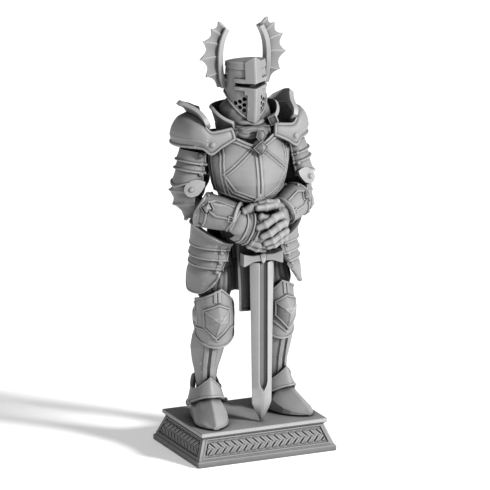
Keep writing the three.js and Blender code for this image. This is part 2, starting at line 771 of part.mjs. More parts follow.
// Right gauntlet: closed round the grip under the other hand.
function handRight() {
  const fist = stack([
    [HAND.low, 6.0, 4.6, 0.6, -18.4],
    [110, 8.2, 5.2, 0.2, -18.5],
    [115, 9.0, 5.2, -0.6, -18.5],
    [HAND.split, 8.2, 4.2, -1.4, -18.2],
  ], 16, 2.4);
  const back = limb(vec(-11.2, -17.6, 123), vec(-3, -18.4, 114), vec(0, 1, 0),
    [[0, 3.9, 3.9], [0.5, 4.7, 5.2], [1, 4.6, 5]], 12);
  const above = slabXZ([[-6.2, HAND.split], [20, HAND.split], [20, 140], [-6.2, 140]], -40, 0);
  const bore = barZ(SWORD.x, SWORD.y, 100, 125, GRIP.radius + GAP, 16);
  return cut(join(fist, back), above, bore);
}

// Left gauntlet: palm over the pommel, fingers laid down the front of the right hand.
function handLeft() {
  const palm = stack([
    [HAND.split + GAP, 7.0, 5.4, 3.6, -19.4],
    [124, 8.4, 6.4, 4.4, -19.8],
    [128, 7.6, 5.8, 4.6, -19.4],
    [HAND.top, 4.4, 4, 4.4, -19.2],
  ], 16, 2.4);
  const finger = (i) => {
    const x = -4.2 + i * 3.7;
    return limb(vec(x + 1.2, -24.2, 122 - i * 0.2), vec(x - 1.4, -26.4, 111.4 + i * 0.5), vec(1, 0, 0),
      [[0, 1.8, 1.7], [0.5, 1.9, 1.7], [1, 1.2, 1.2]], 8);
  };
  const wrist = limb(vec(12, -17.4, 124.4), vec(7, -18.8, 124), vec(0, 0, 1), [[0, 4.2, 4.2], [1, 5.4, 5.4]], 12);
  const bore = barZ(SWORD.x, SWORD.y, 110, 124.8, GRIP.pommel + GAP, 16);
  return cut(join(palm, finger(0), finger(1), finger(2), finger(3), wrist), bore);
}

// ---- sword -----------------------------------------------------------------------------------
const BLADE_TIP = PLINTH.height + GAP;

function blade() {
  const section = (z, half, thick, groove) => {
    const across = [[-1, 0], [-0.45, 1], [-0.16, 1], [0, groove], [0.16, 1], [0.45, 1]];
    const front = across.map(([u, v]) => vec(SWORD.x + u * half, SWORD.y - v * thick, z));
    const back = across.map(([u, v]) => vec(SWORD.x - u * half, SWORD.y + v * thick, z));
    return front.concat(back);
  };
  return loft([
    section(SWORD.guardZ - 2.6, 6.6, 2.5, 0.5),
    section(34, 5.4, 2.4, 0.5),
    section(30, 5.2, 2.2, 1),
    section(BLADE_TIP, 0.35, 0.3, 1),
  ]);
}

function crossguard() {
  const z = SWORD.guardZ;
  const half = SWORD.guardHalf;
  const outline = [
    [-half, -2.6], [-4, -1.8], [0, -2.3], [4, -1.8], [half, -2.6],
    [half - 0.6, 2.3], [4, 1.9], [-4, 1.9], [-half + 0.6, 2.3]];
  return slabXZ(outline.map(([x, dz]) => [SWORD.x + x, z + dz]), SWORD.y - SWORD.halfThick, SWORD.y + SWORD.halfThick);
}

function grip() {
  return barZ(SWORD.x, SWORD.y, SWORD.guardZ + 2.4, GRIP.top, GRIP.radius, 16);
}

function pommel() {
  const profile = [[0, 0], [2.2, 0], [GRIP.pommel, 1.6], [GRIP.pommel, 3], [1.8, 4.6], [0, 4.8]];
  const geometry = new THREE.LatheGeometry(profile.map(([r, h]) => new THREE.Vector2(r, h)), 16);
  geometry.rotateX(Math.PI / 2);
  geometry.translate(SWORD.x, SWORD.y, GRIP.top + 0.1);
  return outward(geometry);
}

// ---- assembly ---------------------------------------------------------------------------------
add('plinth', plinth(), resin(0x8c8c8c));
add('pelvis', pelvis());
add('belt', belt());
add('hip_rod', hipRod());
add('tabard_front', tabardFront());
add('skirt_back', skirtBack());
add('torso_core', torsoCore());
add('waist_post', waistPost());
add('breastplate', breastplate());
add('backplate', backplate());
add('yoke', yoke());
add('gorget', gorget());
add('neck_ball', neckBall());
add('helm', helm());
for (const s of [-1, 1]) {
  const side = sideName(s);
  add(`thigh_${side}`, thigh(s));
  add(`poleyn_${side}`, poleyn(s));
  add(`knee_pin_${side}`, kneePin(s));
  add(`greave_${side}`, greave(s));
  add(`ankle_pin_${side}`, anklePin(s));
  add(`ankle_guard_${side}`, ankleGuard(s));
  add(`sabaton_${side}`, sabaton(s));
  add(`tasset_${side}`, tasset(s));
  add(`crest_wing_${side}`, crestWing(s));
  add(`shoulder_pin_${side}`, shoulderPin(s));
  add(`upper_arm_${side}`, upperArm(s));
  add(`rerebrace_${side}`, rerebrace(s));
  add(`pauldron_${side}`, pauldron(s));
  add(`neck_guard_${side}`, neckGuard(s));
  add(`couter_${side}`, couter(s));
  add(`elbow_pin_${side}`, elbowPin(s));
  add(`forearm_${side}`, forearm(s));
  add(`vambrace_${side}`, vambrace(s));
}
add('hand_right', handRight());
add('hand_left', handLeft());
add('blade', blade());
add('crossguard', crossguard());
add('grip', grip());
add('pommel', pommel());

export default group;
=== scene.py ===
"""Armoured knight leaning on a sword, on a rectangular plinth, in bare grey casting resin.

Shapes are written in millimetres in the frame of the part and scaled to metres when a mesh is made.
The knight looks along -Y and the figure's right side is -X.
"""
import json
import math
import bpy
import numpy as np
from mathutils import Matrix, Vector


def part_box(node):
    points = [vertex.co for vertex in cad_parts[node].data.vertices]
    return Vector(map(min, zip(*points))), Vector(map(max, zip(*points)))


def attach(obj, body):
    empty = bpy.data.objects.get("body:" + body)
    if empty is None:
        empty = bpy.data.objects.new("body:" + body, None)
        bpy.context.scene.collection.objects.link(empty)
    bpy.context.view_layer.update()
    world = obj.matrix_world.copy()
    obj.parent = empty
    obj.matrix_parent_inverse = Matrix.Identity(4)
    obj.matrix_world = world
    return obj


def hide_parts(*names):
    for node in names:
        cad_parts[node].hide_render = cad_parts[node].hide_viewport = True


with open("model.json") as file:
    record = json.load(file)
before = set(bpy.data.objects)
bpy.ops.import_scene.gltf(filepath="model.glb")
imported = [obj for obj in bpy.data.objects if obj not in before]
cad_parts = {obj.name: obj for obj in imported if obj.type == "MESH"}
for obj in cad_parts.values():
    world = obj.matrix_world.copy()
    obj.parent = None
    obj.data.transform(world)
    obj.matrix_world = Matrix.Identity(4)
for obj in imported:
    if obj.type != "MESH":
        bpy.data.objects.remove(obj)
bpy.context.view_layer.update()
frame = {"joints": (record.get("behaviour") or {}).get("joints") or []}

MM = 0.001
RIGHT, LEFT = -1, 1
SIDES = ((RIGHT, "right"), (LEFT, "left"))


# ---- places taken from the frame --------------------------------------------------------
def pivot(joint):
    """A joint's pivot, in millimetres."""
    found = next(j for j in frame["joints"] if j["name"] == joint)
    return np.array(found["pos_m"]) / MM


def box_mm(node):
    low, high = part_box(node)
    return np.array(low) / MM, np.array(high) / MM


KNEE = {s: pivot(f"knee_{name}_bend") for s, name in SIDES}
ANKLE = {s: pivot(f"ankle_{name}_tilt") for s, name in SIDES}
ELBOW = {s: pivot(f"elbow_{name}_bend") for s, name in SIDES}
WRIST = {s: pivot(f"wrist_{name}_tilt") for s, name in SIDES}
HIP = {s: pivot(f"hip_{name}_swing") for s, name in SIDES}
SHOULDER = {s: pivot(f"shoulder_{name}_swing") for s, name in SIDES}
PLINTH_TOP = box_mm("plinth")[1][2]
BLADE_LOW, BLADE_HIGH = box_mm("blade")
SWORD = (BLADE_LOW + BLADE_HIGH) / 2


# ---- small maths -------------------------------------------------------------------------
def unit(v):
    v = np.asarray(v, float)
    return v / np.linalg.norm(v)


def smooth(x, low, high):
    """0 below low, 1 above high, easing between them."""
    t = np.clip((np.asarray(x, float) - low) / (high - low), 0, 1)
    return t * t * (3 - 2 * t)


def hump(x, middle, spread):
    """Bell curve of height 1 about middle."""
    return np.exp(-((x - middle) / spread) ** 2)


def inside(x, low, high, edge=0.16):
    """1 between low and high, with soft edges."""
    return smooth(x, low - edge, low + edge) * (1 - smooth(x, high - edge, high + edge))


def bead(d, width, height):
    """Half-round moulding of a width, centred on d = 0."""
    x = np.clip(np.abs(d) / (width / 2), 0, 1)
    return height * np.sqrt(np.clip(1 - x * x, 0, 1))


def rim(d, width, height):
    """Half-round moulding that starts at an edge (d = 0) with a crease behind it."""
    crease = -0.22 * height * hump(d, width + 0.25, 0.3)
    return bead(d - width / 2, width, height) + crease


def line_distance(x, z, points):
    """Distance in the plane from (x, z) to a row of straight lines through points."""
    best = np.full(np.shape(x), 1e9)
    for (ax, az), (bx, bz) in zip(points[:-1], points[1:]):
        dx, dz = bx - ax, bz - az
        t = np.clip(((x - ax) * dx + (z - az) * dz) / (dx * dx + dz * dz), 0, 1)
        best = np.minimum(best, np.hypot(x - ax - t * dx, z - az - t * dz))
    return best


def polygon_distance(x, z, points):
    """Signed distance to a closed outline: negative inside."""
    closed = list(points) + [points[0]]
    d = line_distance(x, z, closed)
    odd = np.zeros(np.shape(x), bool)
    for (ax, az), (bx, bz) in zip(closed[:-1], closed[1:]):
        if az != bz:
            crosses = ((az > z) != (bz > z)) & (x < (bx - ax) * (z - az) / (bz - az) + ax)
            odd ^= crosses
    return np.where(odd, -d, d)


def double_line(d, gap=0.75, width=0.8, height=0.45):
    """Two mouldings side by side, at distance gap from the line."""
    return bead(d - gap, width, height)


def weights(t, count):
    """Catmull-Rom weights of count control points at each t from 0 to 1."""
    t = np.clip(np.asarray(t, float), 0, 1) * (count - 1)
    k = np.clip(t.astype(int), 0, count - 2)
    f = t - k
    parts = (
        0.5 * (-f + 2 * f ** 2 - f ** 3),
        0.5 * (2 - 5 * f ** 2 + 3 * f ** 3),
        0.5 * (f + 4 * f ** 2 - 3 * f ** 3),
        0.5 * (f ** 3 - f ** 2),
    )
    out = np.zeros((len(t), count))
    rows = np.arange(len(t))
    for offset, part in zip((-1, 0, 1, 2), parts):
        index = k + offset
        # Past either end the row of points carries on in a straight line.
        low, high = index < 0, index > count - 1
        mid = ~(low | high)
        np.add.at(out, (rows[mid], index[mid]), part[mid])
        np.add.at(out, (rows[low], 0), 2 * part[low])
        np.add.at(out, (rows[low], 1), -part[low])
        np.add.at(out, (rows[high], count - 1), 2 * part[high])
        np.add.at(out, (rows[high], count - 2), -part[high])
    return out


def curve(points, steps):
    points = np.asarray(points, float)
    return weights(np.linspace(0, 1, steps + 1), len(points)) @ points


def net(points, nu, nv):
    """Smooth sheet through a net of points, points[row u][row v]."""
    points = np.asarray(points, float)
    wu = weights(np.linspace(0, 1, nu + 1), points.shape[0])
    wv = weights(np.linspace(0, 1, nv + 1), points.shape[1])
    return np.einsum("am,bn,mnc->abc", wu, wv, points)


def mirror(points, s):
    """Points drawn for the figure's left (+X), put on side s."""
    out = np.array(points, float)
    out[..., 0] *= s
    return out


def frame_of(axis, toward=(0, 0, 1)):
    """Two unit vectors square to an axis, the first as near to toward as it can lie."""
    axis = unit(axis)
    second = np.cross(axis, toward)
    if np.linalg.norm(second) < 1e-6:
        second = np.cross(axis, (1, 0, 0))
    second = unit(second)
    return np.cross(second, axis), second


# ---- mesh building ------------------------------------------------------------------------
class Piece:
    """Gathers meshes in millimetres and turns them into one object."""

    def __init__(self):
        self.verts, self.faces, self.count = [], [], 0

    def add(self, verts, faces):
        verts = np.asarray(verts, float).reshape(-1, 3)
        self.verts.append(verts)
        self.faces.extend([tuple(int(i) + self.count for i in face) for face in faces])
        self.count += len(verts)

    def make(self, name, body, nodes, material, angle=32, bevel=0):
        mesh = bpy.data.meshes.new(name)
        verts = np.concatenate(self.verts) * MM
        mesh.from_pydata(verts.tolist(), [], self.faces)
        mesh.validate()
        mesh.shade_smooth()
        mesh.set_sharp_from_angle(angle=math.radians(angle))
        mesh.materials.append(material)
        piece = bpy.data.objects.new(name, mesh)
        bpy.context.scene.collection.objects.link(piece)
        if bevel:
            mod = piece.modifiers.new("edge", "BEVEL")
            mod.width = bevel * MM
            mod.segments = 3
            mod.limit_method = "ANGLE"
            mod.angle_limit = math.radians(28)
            mod.harden_normals = False
        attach(piece, body)
        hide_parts(*nodes)


def grid_faces(rows, cols, closed=False, start=0):
    i = np.arange(rows if closed else rows - 1)[:, None]
    j = np.arange(cols - 1)[None, :]
    a = i * cols + j
    b = ((i + 1) % rows) * cols + j
    return (np.stack([a, b, b + 1, a + 1], -1).reshape(-1, 4) + start)


def surface_normals(p, closed=False):
    if closed:
        du = np.roll(p, -1, 0) - np.roll(p, 1, 0)
    else:
        du = np.gradient(p, axis=0)
    dv = np.gradient(p, axis=1)
    n = np.cross(du, dv)
    length = np.linalg.norm(n, axis=-1, keepdims=True)
    return n / np.maximum(length, 1e-9)


def grid(nu, nv, low=0.0):
    """Column of u from low to 1 and row of v from 0 to 1."""
    return np.linspace(low, 1, nu + 1)[:, None], np.linspace(0, 1, nv + 1)[None, :]


def edge_distances(p):
    """Distance along the sheet from each of its four edges: u0, u1, v0, v1."""
    su = np.zeros(p.shape[:2])
    su[1:] = np.cumsum(np.linalg.norm(np.diff(p, axis=0), axis=-1), axis=0)
    sv = np.zeros(p.shape[:2])
    sv[:, 1:] = np.cumsum(np.linalg.norm(np.diff(p, axis=1), axis=-1), axis=1)
    return su, su[-1:] - su, sv, sv[:, -1:] - sv


def border(p):
    """Distance along the sheet from the nearest of its four edges."""
    return np.minimum.reduce(edge_distances(p))


def shell(piece, p, thick, relief=None, centre=None, closed=False):
    """A plate: sheet p, pushed out by relief, with thickness behind it. centre says where inside is."""
    n = surface_normals(p, closed)
    middle = p.reshape(-1, 3).mean(0) if centre is None else np.asarray(centre, float)
    if np.mean(np.sum(n * (p - middle), -1)) < 0:
        n = -n
        p, n = p[::-1], n[::-1]
        if relief is not None:
            relief = relief[::-1]
    height = 0 if relief is None else relief[..., None]
    outer = p + n * height
    depth = thick[..., None] if isinstance(thick, np.ndarray) else thick
    inner = p - n * depth
    rows, cols = p.shape[:2]
    total = rows * cols
    faces = [grid_faces(rows, cols, closed), grid_faces(rows, cols, closed, total)[:, ::-1]]
    i = np.arange(rows if closed else rows - 1)
    k = (i + 1) % rows
    for j, flip in ((0, False), (cols - 1, True)):
        quad = np.stack([i * cols + j, i * cols + j + total, k * cols + j + total, k * cols + j], -1)
        faces.append(quad[:, ::-1] if flip else quad)
    if not closed:
        j = np.arange(cols - 1)
        for row, flip in ((0, True), (rows - 1, False)):
            a = row * cols + j
            quad = np.stack([a, a + total, a + 1 + total, a + 1], -1)
            faces.append(quad[:, ::-1] if flip else quad)
    piece.add(np.concatenate([outer.reshape(-1, 3), inner.reshape(-1, 3)]), np.concatenate(faces))


def solid(piece, rings):
    """Closed skin over rings (array rows x points x 3), capped with fans."""
    rings = np.asarray(rings, float)
    rows, cols = rings.shape[:2]
    i = np.arange(rows - 1)[:, None]
    j = np.arange(cols)[None, :]
    k = (j + 1) % cols
    quads = np.stack([i * cols + j, i * cols + k,
                      (i + 1) * cols + k, (i + 1) * cols + j], -1).reshape(-1, 4)
    verts = np.concatenate([rings.reshape(-1, 3), rings[0].mean(0)[None], rings[-1].mean(0)[None]])
    low, high = rows * cols, rows * cols + 1
    faces = [tuple(q) for q in quads]
    last = (rows - 1) * cols
    faces += [(low, (c + 1) % cols, c) for c in range(cols)]
    faces += [(high, last + c, last + (c + 1) % cols) for c in range(cols)]
    centre = rings.reshape(-1, 3).mean(0)
    a, b, c = (verts[[f[n] for f in faces[:len(quads)]]] for n in (0, 1, 2))
    if np.sum(np.cross(b - a, c - a) * (a - centre)) < 0:
        faces = [f[::-1] for f in faces]
    piece.add(verts, faces)


def oval(centre, across, along, count=28, power=2.0, start=0.0):
    t = np.arange(count) / count * 2 * np.pi + start
    c, s = np.cos(t), np.sin(t)
    x = np.sign(c) * np.abs(c) ** (2 / power)
    y = np.sign(s) * np.abs(s) ** (2 / power)
    return np.asarray(centre) + x[:, None] * np.asarray(across) + y[:, None] * np.asarray(along)


def limb(piece, path, radii, toward=(0, 0, 1), count=28, ends=True, power=2.0, folds=None):
    """Round solid along a path; radii is one number or a pair for each point."""
    path = np.asarray(path, float)
    radii = np.asarray(radii, float)
    if radii.ndim == 1:
        radii = np.stack([radii, radii], -1)
    tangents = np.gradient(path, axis=0)
    rings = []
    if ends:
        steps = [(-0.62, 0.35), (-0.42, 0.72), (-0.18, 0.93)]
        for shift, scale in steps:
            rings.append((path[0] + unit(tangents[0]) * shift * radii[0].mean(), tangents[0],
                          radii[0] * scale))
    rings += [(p, t, r) for p, t, r in zip(path, tangents, radii)]
    if ends:
        for shift, scale in reversed(steps):
            rings.append((path[-1] - unit(tangents[-1]) * shift * radii[-1].mean(), tangents[-1],
                          radii[-1] * scale))
    out = []
    for row, (p, t, r) in enumerate(rings):
        u, v = frame_of(t, toward)
        ring = oval(p, u * r[0], v * r[1], count, power)
        if folds is not None:
            ring = ring + (ring - p) * folds(row / (len(rings) - 1), np.arange(count) / count)[:, None]
        out.append(ring)
    solid(piece, out)


def tube(piece, path, radius, sides=10, closed=False, flat=1.0, normal=None):
    """Cord along a path. flat squeezes it along normal."""
    path = np.asarray(path, float)
    radius = np.broadcast_to(np.asarray(radius, float), (len(path),))
    if closed:
        tangents = np.roll(path, -1, 0) - np.roll(path, 1, 0)
    else:
        tangents = np.gradient(path, axis=0)
    ref = unit(normal) if normal is not None else None
    rings = []
    u = None
    for p, t, r in zip(path, tangents, radius):
        t = unit(t)
        if ref is not None:
            u = unit(ref - t * (ref @ t))
        elif u is None:
            u = frame_of(t)[0]
        else:
            u = unit(u - t * (u @ t))
        v = np.cross(t, u)
        rings.append(oval(p, u * r * flat, v * r, sides))
    if not closed:
        solid(piece, rings)
        return
    rings = np.array(rings)
    rows, cols = rings.shape[:2]
    i = np.arange(rows)[:, None]
    j = np.arange(cols)[None, :]
    a, b = i * cols + j, ((i + 1) % rows) * cols + j
    c, d = ((i + 1) % rows) * cols + (j + 1) % cols, i * cols + (j + 1) % cols
    piece.add(rings.reshape(-1, 3), np.stack([a, b, c, d], -1).reshape(-1, 4)[:, ::-1])


def lathe(piece, profile, centre, axis, count=24, toward=(0, 0, 1), power=2.0):
    """Turned solid: profile rows are (radius, height along axis)."""
    axis = unit(axis)
    u, v = frame_of(axis, toward)
    rings = [oval(np.asarray(centre) + axis * h, u * max(r, 0.01), v * max(r, 0.01), count, power)
             for r, h in profile]
    solid(piece, rings)


def rivet(piece, centre, axis, radius=1.0, height=0.75):
    """Domed rivet head with a small washer ring."""
    dome = [(radius * 1.28, -0.5), (radius * 1.28, 0.1), (radius * 1.12, 0.22), (radius, 0.22)]
    dome += [(radius * math.cos(a), 0.22 + height * math.sin(a)) for a in np.linspace(0.25, 1.45, 6)]
    lathe(piece, dome, centre, axis, 18)


def prism(piece, outline, back, front, flare=1.0):
    """Slab with a bevelled front: outline is (n x 3) points, back and front are shifts."""
    outline = np.asarray(outline, float)
    middle = outline.mean(0)
    back, front = np.asarray(back, float), np.asarray(front, float)
    rings = [outline + back, outline + front * 0.7]
    rings.append(middle + (outline - middle) * (1 - 0.12 * flare) + front)
    solid(piece, rings)


def pyramid(piece, outline, axis, height, border=0.35, step=0.4):
    """Raised cut stone: a low border, a crease, then facets up to a point."""
    outline = np.asarray(outline, float)
    axis = unit(axis)
    middle = outline.mean(0)
    towards = outline - middle
    rings = [
        outline - axis * 0.8,
        outline + axis * step,
        middle + towards * (1 - border * 0.6) + axis * step,
        middle + towards * (1 - border * 0.72) + axis * step * 0.35,
        middle + towards * 0.02 + axis * height,
    ]
    solid(piece, rings)


# ---- material -----------------------------------------------------------------------------
PAINTED_SHADE_REACH = 0.013    # metres within which a nearby surface paints shade into another's colour
# Colour factor from occlusion: painted shade, darkening the colour in creases and where parts meet.
PAINTED_SHADE_STOPS = ((0.0, 0.01), (0.4, 0.14), (0.75, 0.62), (1.0, 1.03))
# Colour factor from pointiness: painted highlight lightening convex edges, painted shade darkening hollows.
EDGE_HIGHLIGHT_HOLLOW_SHADE_STOPS = ((0.42, 0.5), (0.5, 1.0), (0.58, 1.6))


def resin(name, shade, grain=1.0, rough=0.58):
    """Cast grey resin: soft mottling, painted highlight on sharp edges, painted shade in creases and hollows,
    fine grain.
    """
    m = bpy.data.materials.new(name)
    m.use_nodes = True
    tree = m.node_tree
    nodes, links = tree.nodes, tree.links
    shader = nodes["Principled BSDF"]

    def node(kind, **values):
        n = nodes.new(kind)
        for key, value in values.items():
            setattr(n, key, value)
        return n

    def mix(kind, factor, a, b):
        n = node("ShaderNodeMix", data_type="RGBA", blend_type=kind)
        for socket, value in zip((0, 6, 7), (factor, a, b)):
            if isinstance(value, bpy.types.NodeSocket):
                links.new(value, n.inputs[socket])
            else:
                n.inputs[socket].default_value = value
        return n.outputs[2]

    def ramp(source, stops):
        n = node("ShaderNodeValToRGB")
        links.new(source, n.inputs[0])
        band = n.color_ramp
        while len(band.elements) < len(stops):
            band.elements.new(0.5)
        for element, (place, value) in zip(band.elements, stops):
            element.position = place
            element.color = (value, value, value, 1)
        return n.outputs[0]

    def noise(scale, detail, strength=0.5):
        n = node("ShaderNodeTexNoise")
        links.new(coords.outputs["Object"], n.inputs["Vector"])
        n.inputs["Scale"].default_value = scale
        n.inputs["Detail"].default_value = detail
        n.inputs["Roughness"].default_value = strength
        return n.outputs[0]

    coords = node("ShaderNodeTexCoord")
    geometry = node("ShaderNodeNewGeometry")
    occlusion = node("ShaderNodeAmbientOcclusion", samples=8)
    occlusion.inputs["Distance"].default_value = PAINTED_SHADE_REACH
    base = (shade, shade, shade * 1.005, 1)
    mottled = mix("MULTIPLY", 1.0, base, ramp(noise(90, 4), ((0.3, 0.93), (0.7, 1.05))))
    # Painted highlight on sharp edges and painted shade in hollows, from pointiness.
    edge_lit_hollow_shaded = mix("MULTIPLY", 1.0, mottled, ramp(geometry.outputs["Pointiness"], EDGE_HIGHLIGHT_HOLLOW_SHADE_STOPS))
    # Painted shade: the colour darkens where nearby surfaces occlude, in creases and between parts.
    shaded = mix("MULTIPLY", 1.0, edge_lit_hollow_shaded, ramp(occlusion.outputs["AO"], PAINTED_SHADE_STOPS))
    links.new(shaded, shader.inputs["Base Color"])
    roughness = ramp(noise(240, 3), ((0.3, rough - 0.07), (0.7, rough + 0.08)))
    links.new(roughness, shader.inputs["Roughness"])
    shader.inputs["Specular IOR Level"].default_value = 0.32
    bump = node("ShaderNodeBump")
    bump.inputs["Strength"].default_value = 0.22 * grain
    bump.inputs["Distance"].default_value = 0.00012
    links.new(noise(2600, 3, 0.6), bump.inputs["Height"])
    links.new(bump.outputs[0], shader.inputs["Normal"])
    return m


RESIN = resin("resin_plate", 0.21)
# The cloth copy of the resin has its own grain and roughness. Its shade of 0.16, darker than the plates'
# 0.21, is painted shade, since the cloth parts sit in shadow.
CLOTH_SHADED = resin("resin_cloth_shaded", 0.16, grain=1.8, rough=0.68)
BASE = resin("resin_plinth", 0.19, grain=1.3, rough=0.62)


# ---- plinth ---------------------------------------------------------------------------------
PLINTH = {"half_x": 38.0, "half_y": 28.0, "foot": 3.1, "slab": 1.9, "flare": 3.55}


def rounded_frame(half_x, half_y, z, corner=0.35, steps=4):
    """Level rectangle with small round corners, as a ring of points."""
    points = []
    for quarter, (sx, sy) in enumerate(((1, 1), (-1, 1), (-1, -1), (1, -1))):
        for k in range(steps + 1):
            a = (quarter + k / steps) * math.pi / 2
            points.append((sx * (half_x - corner) + corner * math.cos(a),
                           sy * (half_y - corner) + corner * math.sin(a), z))
    return points


# Spacing of the strands along the band, half its width, and how far the strands lean.
BRAID = {"pitch": 3.9, "half": 3.3, "lean": 1.0}


def braid(x, z, pitch, half, lean):
    """Height of a flat plait: strands lean in from both edges and tuck under each other."""
    best = np.full(np.shape(x), -2.0)
    for side in (1, -1):
        h = side * z
        f = ((x + lean * h) / pitch + (0.5 if side < 0 else 0.0)) % 1.0
        off = 2 * f - 1
        bar = np.sqrt(np.clip(1 - (off / 0.9) ** 2, 0, 1))
        groove = 0.35 * hump(off, 0, 0.16)
        end = half * (1 - 0.16 * off ** 2)
        lift = smooth(h, -1.5, 0.7) * np.sqrt(np.clip(1 - np.clip(h / end, 0, 1) ** 6, 0, 1))
        strand = np.where((h > -1.5) & (h < end) & (bar > 0), lift + 0.8 * bar - groove - 0.25, -2.0)
        best = np.maximum(best, strand)
    return best


def plinth():
    top = PLINTH_TOP
    hx, hy, flare = PLINTH["half_x"], PLINTH["half_y"], PLINTH["flare"]
    p = Piece()
    rows = [(0.3, 0.0), (0.0, 0.3), (0.0, PLINTH["foot"] - 0.5), (0.35, PLINTH["foot"] - 0.1),
            (0.9, PLINTH["foot"] + 0.1), (1.0, PLINTH["foot"] + 0.6)]
    sunk = 2.6
    side_low, side_high = PLINTH["foot"] + 0.6, top - 3.3
    rows += [(1.0 + (flare + 0.3) * t + sunk, side_low + (side_high - side_low) * t)
             for t in (0.02, 0.5, 0.98)]
    rows += [(flare + 1.1, top - 2.9), (flare + 0.75, top - 2.4),
             (flare + 0.15, top - PLINTH["slab"] - 0.1),
             (flare - 0.1, top - PLINTH["slab"] + 0.2), (flare - 0.1, top - 0.35), (flare + 0.25, top)]
    rings = [rounded_frame(hx - inset, hy - inset, z) for inset, z in rows]
    solid(p, rings)
    z0, z1 = PLINTH["foot"] + 0.5, top - 3.2
    inset0, inset1 = 1.0, flare + 1.3
    for axis, sign in (("x", -1), ("x", 1), ("y", -1), ("y", 1)):
        half = hx if axis == "x" else hy
        depth = hy if axis == "x" else hx
        step = 0.26
        nu, nv = int(2 * half / step / 1.3), int(12 / 0.24)
        u, v = grid(nu, nv, -1.0)
        z = z0 + (z1 - z0) * v + 0 * u
        inset = inset0 + (inset1 - inset0) * v
        along = (half - inset) * u
        out = sign * (depth - inset + 0.02) + 0 * u
        sheet = np.stack([along, out, z] if axis == "x" else [out, along, z], -1)
        height = (z - z0) / (z1 - z0) * 10.0
        edge = (half - inset) - np.abs(along)
        window = np.minimum(np.minimum(edge - 2.6, height - 1.15), 9.1 - height)
        frame_bead = bead(window + 0.55, 0.9, 0.3)
        panel = smooth(window, 0.0, 0.28)
        plait = braid(along + (0 if axis == "x" else 2.0), height - 5.1, **BRAID)
        plait = np.clip(plait, -0.95, 2)
        fade = smooth(window, 0.2, 0.9)
        relief = frame_bead * (1 - panel) - 1.7 * panel + (plait + 0.95) * 0.85 * fade * panel
        shell(p, sheet, 0.5, relief, centre=(0, 0, 8))
    p.make("plinth_block", "base", ["plinth"], BASE, angle=30)


# ---- torso ----------------------------------------------------------------------------------
TORSO_Y = -5.0
# Height, half width, depth in front and behind, measured from TORSO_Y.
CUIRASS = np.array([
    [124.0, 12.0, 9.6, 8.4], [130.6, 13.0, 11.4, 9.4], [134.0, 14.8, 12.8, 10.6], [140.0, 16.9, 12.9, 11.8],
    [148.0, 18.4, 11.6, 12.6], [155.0, 18.8, 9.7, 12.8], [160.0, 18.0, 8.2, 12.2],
    [166.5, 15.2, 7.3, 10.4]])


def torso_at(angle, z, grow=0.0):
    """Point on the cuirass: angle 0 is the figure's left, 90 degrees is behind."""
    half, front, back = (np.interp(z, CUIRASS[:, 0], CUIRASS[:, k]) for k in (1, 2, 3))
    c, s = np.cos(angle), np.sin(angle)
    chest, flank = smooth(z, 137, 146), 1.3 * smooth(z, 127, 133)
    half = half + 1.9 * (1 - smooth(z, 153, 158)) * (chest + (flank - chest) * smooth(s, -0.7, -0.2))
    depth = np.where(s < 0, front, back) + grow
    keel = np.clip(-s, 0, 1) ** 14 * 1.1
    x = np.sign(c) * np.abs(c) ** 0.88 * (half + grow)
    y = TORSO_Y + np.sign(s) * np.abs(s) ** 0.88 * depth - keel
    return np.stack([x, y, z + 0 * x], -1)


